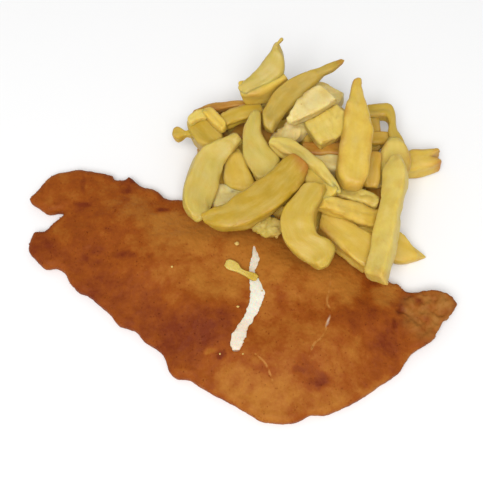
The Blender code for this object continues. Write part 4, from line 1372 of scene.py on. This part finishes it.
def base_lines():
    """The chips inside the heap: middle lines in space, vectors to their right edges, and thicknesses."""
    draw = random.Random(BASE_SEED)
    made = []
    for ring, (count, out, spread) in enumerate(BASE_RINGS):
        for k in range(count):
            turn = 2 * math.pi * (k + 0.5 * ring + draw.uniform(-0.15, 0.15)) / count
            middle = HEAP_MIDDLE + HEAP_REACH * out * np.array((math.cos(turn), math.sin(turn)))
            heading = turn + math.pi / 2 + draw.uniform(-spread, spread)
            half = draw.uniform(*BASE_HALVES) * MM * np.array((math.cos(heading), math.sin(heading)))
            bow = draw.uniform(*BASE_BOWS) * MM * np.array((-math.sin(heading), math.cos(heading)))
            path = np.array((middle - half, middle + bow, middle + half))
            width = draw.uniform(*BASE_WIDTHS)
            widths = np.array((width - 2, width, width, width - draw.uniform(1, 5))) * MM
            made.append((path, widths, draw.uniform(*BASE_THICKS) * MM))
    lines = []
    for (path, widths, thick), (start, stop) in zip(made, BASE_HEIGHTS):
        line = raised(fine_line(path, BASE_STEPS), np.linspace(start, stop, BASE_STEPS) * MM)
        across = level_across(line, np.interp(np.linspace(0, 3, BASE_STEPS), np.arange(4), widths))
        lines.append((line, across, thick))
    return lines


def level_across(line, widths):
    """Level vectors from a line to its right edge."""
    return raised(right_of(np.gradient(line, axis=0))) * widths[:, None] / 2


def seen_chip(rails, thick, heights):
    """A chip's middle line in space and the vectors to its right edge, from its two edges in the picture.
    Of the two edges, the one further up the picture is the chip's upper corner, the other its lower one."""
    one, other = (fine_line(rail, CHIP_STEPS) for rail in rails)
    level = np.linspace(*heights, CHIP_STEPS) * MM
    gap = other - one
    apart = np.linalg.norm(gap, axis=1)
    uphill = gap[:, 1] / apart * CORNER_SEEN * np.minimum(thick, 0.75 * apart * PIXEL) / 2
    one = np.column_stack(seen_point(*one.T, level + uphill))
    other = np.column_stack(seen_point(*other.T, level - uphill))
    middle, half = (one + other) / 2, (other - one) / 2
    way = np.gradient(middle, axis=0)
    if (way[:, 1] * half[:, 0] - way[:, 0] * half[:, 1]).mean() < 0:
        half = -half
    return raised(middle, level), raised(half)


def chip_colours(chip, tone, browned, draw, settings):
    """The tone and the browning, with the painted shade of its sides, of each point of a chip, from what its
    surface gave.
    """
    points, _, edges, from_start, from_end, _ = chip
    start, end = (ease(1 - gap / BROWNED_REACH) for gap in (from_start, from_end))
    ends = browned[0] * start + browned[1] * end
    streaks = layered(points + draw.uniform(0, 1), (0.5, 6, 51))
    edge = edges * np.clip(0.45 + layered(points, (0.9, 8, 52)), 0, 1)
    browning_and_shade = np.clip(ends * (0.8 + streaks) + 0.8 * edge, 0, 1)
    red, green, blue = getattr(settings, tone)
    light = draw.uniform(0.95, 1.05) * (1 + layered(points, (0.1, 9, 53)))
    warm = 1 + layered(points, (0.2, 7, 54))
    return np.clip(np.column_stack((red * light, green * light, blue * light / warm)), 0, 1), browning_and_shade


class FISHCHIPS_OT_chips(bpy.types.Operator):
    """Adds the heap of thick-cut chips"""

    bl_idname = "fishchips.chips"
    bl_label = "Add Chips"

    def execute(self, context):
        settings = context.scene.fishchips_chips
        draw = random.Random(CHIPS_SEED)
        chips = []
        for name, (*rails, thick, heights, tone, turned, browned) in CHIPS.items():
            line, across = seen_chip(rails, thick * MM, heights)
            corner = settings.corner * (ROUNDER if name in ROUND_CHIPS else 1)
            broken = NOTCHED.get(name, 0.0), CRUMBLY.get(name, 0.0)
            chip = chip_surface(
                line, across, thick * MM, turned, draw, settings, corner, settings.pitch, *broken
            )
            chips.append((*chip, *chip_colours(chip, tone, browned, draw, settings)))
        for line, across, thick in base_lines():
            turned = draw.uniform(*BASE_TURNS)
            chip = chip_surface(line, across, thick, turned, draw, settings, settings.corner, BASE_PITCH)
            tone = draw.choice(BASE_SHADE_TONES)
            browned = draw.uniform(*BASE_BROWNING), draw.uniform(*BASE_BROWNING)
            chips.append((*chip, *chip_colours(chip, tone, browned, draw, settings)))
        points, faces = joined([chip[:2] for chip in chips])
        data = made_mesh("thick_cut_chips", into_box(points), faces)
        grain, tones, browning_and_shade = (np.concatenate(looks) for looks in list(zip(*chips))[-3:])
        keep_looks(data, tones, browning_and_shade, grain)
        finished_piece(data, fried_potato("fried_potato", settings), "fried_potato", "chips")
        return {"FINISHED"}


class FISHCHIPS_OT_scrap(bpy.types.Operator):
    """Adds the sliver of chip across the crack, and the loose crumbs on the crust"""

    bl_idname = "fishchips.scrap"
    bl_label = "Add Scrap and Crumbs"

    def execute(self, context):
        settings = context.scene.fishchips_chips
        draw = random.Random(SCRAP_SEED)
        solid = outline(SOLID_PITCH)
        plan = on_crust(fine_line(SCRAP_SEEN, SCRAP_STEPS))
        line = raised(plan, crust_top(plan, solid) + SCRAP_THICK / 2 + SCRAP_ABOVE)
        across = level_across(line, fine_line(SCRAP_WIDTHS[:, None], SCRAP_STEPS)[:, 0])
        points, faces, _, from_start, from_end, grain = chip_surface(
            line, across, SCRAP_THICK, SCRAP_TURNED, draw, settings, SCRAP_CORNER, SCRAP_PITCH
        )
        data = made_mesh("chip_scrap_piece", into_box(points), faces)
        share = ease((from_start / (from_start + from_end) - 0.55) / 0.3)
        tones = np.outer(1 - share, settings.pale) + np.outer(share, settings.olive)
        keep_looks(data, tones, 0.25 * ease(1 - np.abs(share - 0.4) / 0.3), grain)
        skin = fried_potato("fried_potato_scrap", settings)
        finished_piece(data, skin, "fried_potato_scrap", "chip_scrap")
        ball, ball_faces = ball_form(3)
        forms = []
        for across, down, size in CRUMBS_SEEN:
            spot = on_crust(((across, down),))
            height = crust_top(spot, solid) + 0.28 * size * MM
            shape = ball * (1 + 0.45 * roughness(ball + across, 0.8, 61))[:, None]
            shape = shape * size * MM / 2 * np.array((1, draw.uniform(0.7, 1.1), 0.55))
            forms.append((shape + raised(spot, height), ball_faces))
        points, faces = joined(forms)
        data = made_mesh("loose_crumbs", into_box(points), faces)
        keep_looks(data, np.tile(linear("#F1DFC4"), (len(points), 1)), np.zeros(len(points)), points)
        # The crumbs have the plain material of the solids' scrap, which took this name first.
        finished_piece(data, bpy.data.materials["fried_potato_scrap"], "fried_potato_scrap")
        return {"FINISHED"}


class FISHCHIPS_OT_stage(bpy.types.Operator):
    """Adds the pale floor, the soft light and the camera"""

    bl_idname = "fishchips.stage"
    bl_label = "Add Stage"

    def execute(self, context):
        settings = context.scene.fishchips_stage
        scene = context.scene
        corners = np.array(((-1, -1, 0), (1, -1, 0), (1, 1, 0), (-1, 1, 0)))
        data = made_mesh("floor", corners * FLOOR_HALF, [(0, 1, 2, 3)])
        data.materials.append(matte_paper(settings))
        floor = bpy.data.objects.new("floor", data)
        scene.collection.objects.link(floor)
        world = bpy.data.worlds.new("studio")
        world.use_nodes = True
        world.node_tree.nodes["Background"].inputs["Strength"].default_value = settings.room
        world.node_tree.nodes["Background"].inputs["Color"].default_value = (1, 1, 1, 1)
        scene.world = world
        lamp = bpy.data.lights.new("soft_lamp", "AREA")
        lamp.shape, lamp.size, lamp.energy = "SQUARE", settings.lamp_side, settings.lamp
        holder = bpy.data.objects.new("soft_lamp", lamp)
        scene.collection.objects.link(holder)
        holder.location = LAMP_PLACE
        holder.rotation_euler = (-holder.location).to_track_quat("-Z", "Y").to_euler()
        camera = bpy.data.cameras.new("camera")
        camera.sensor_width = SENSOR
        camera.lens = SENSOR * PICTURE_FOCAL / PICTURE_SIDE
        eye = bpy.data.objects.new("camera", camera)
        scene.collection.objects.link(eye)
        eye.location = EYE
        eye.rotation_euler = (math.pi / 2 - VIEW_RISE, 0, 0)
        scene.camera = eye
        scene.view_settings.view_transform = "Standard"
        return {"FINISHED"}


OPERATORS = (
    FISHCHIPS_OT_crust, FISHCHIPS_OT_grit, FISHCHIPS_OT_flesh, FISHCHIPS_OT_chips, FISHCHIPS_OT_scrap,
    FISHCHIPS_OT_stage,
)


class FISHCHIPS_PT_panel(bpy.types.Panel):
    """Lists the pieces of the dish"""

    bl_label = "Fish and Chips"
    bl_idname = "FISHCHIPS_PT_panel"
    bl_space_type = "VIEW_3D"
    bl_region_type = "UI"
    bl_category = "Fish and Chips"

    def draw(self, context):
        for operator in OPERATORS:
            self.layout.operator(operator.bl_idname)


GROUPS = {
    "fishchips_fillet": FilletSettings,
    "fishchips_chips": ChipSettings,
    "fishchips_stage": StageSettings,
}


def register():
    for name, group in GROUPS.items():
        bpy.utils.register_class(group)
        setattr(bpy.types.Scene, name, bpy.props.PointerProperty(type=group))
    for kind in (*OPERATORS, FISHCHIPS_PT_panel):
        bpy.utils.register_class(kind)


def unregister():
    for kind in reversed((*OPERATORS, FISHCHIPS_PT_panel)):
        bpy.utils.unregister_class(kind)
    for name, group in GROUPS.items():
        delattr(bpy.types.Scene, name)
        bpy.utils.unregister_class(group)


def main():
    register()
    for operator in OPERATORS:
        area, name = operator.bl_idname.split(".")
        getattr(getattr(bpy.ops, area), name)()
    bpy.context.view_layer.update()


if __name__ == "__main__":
    main()
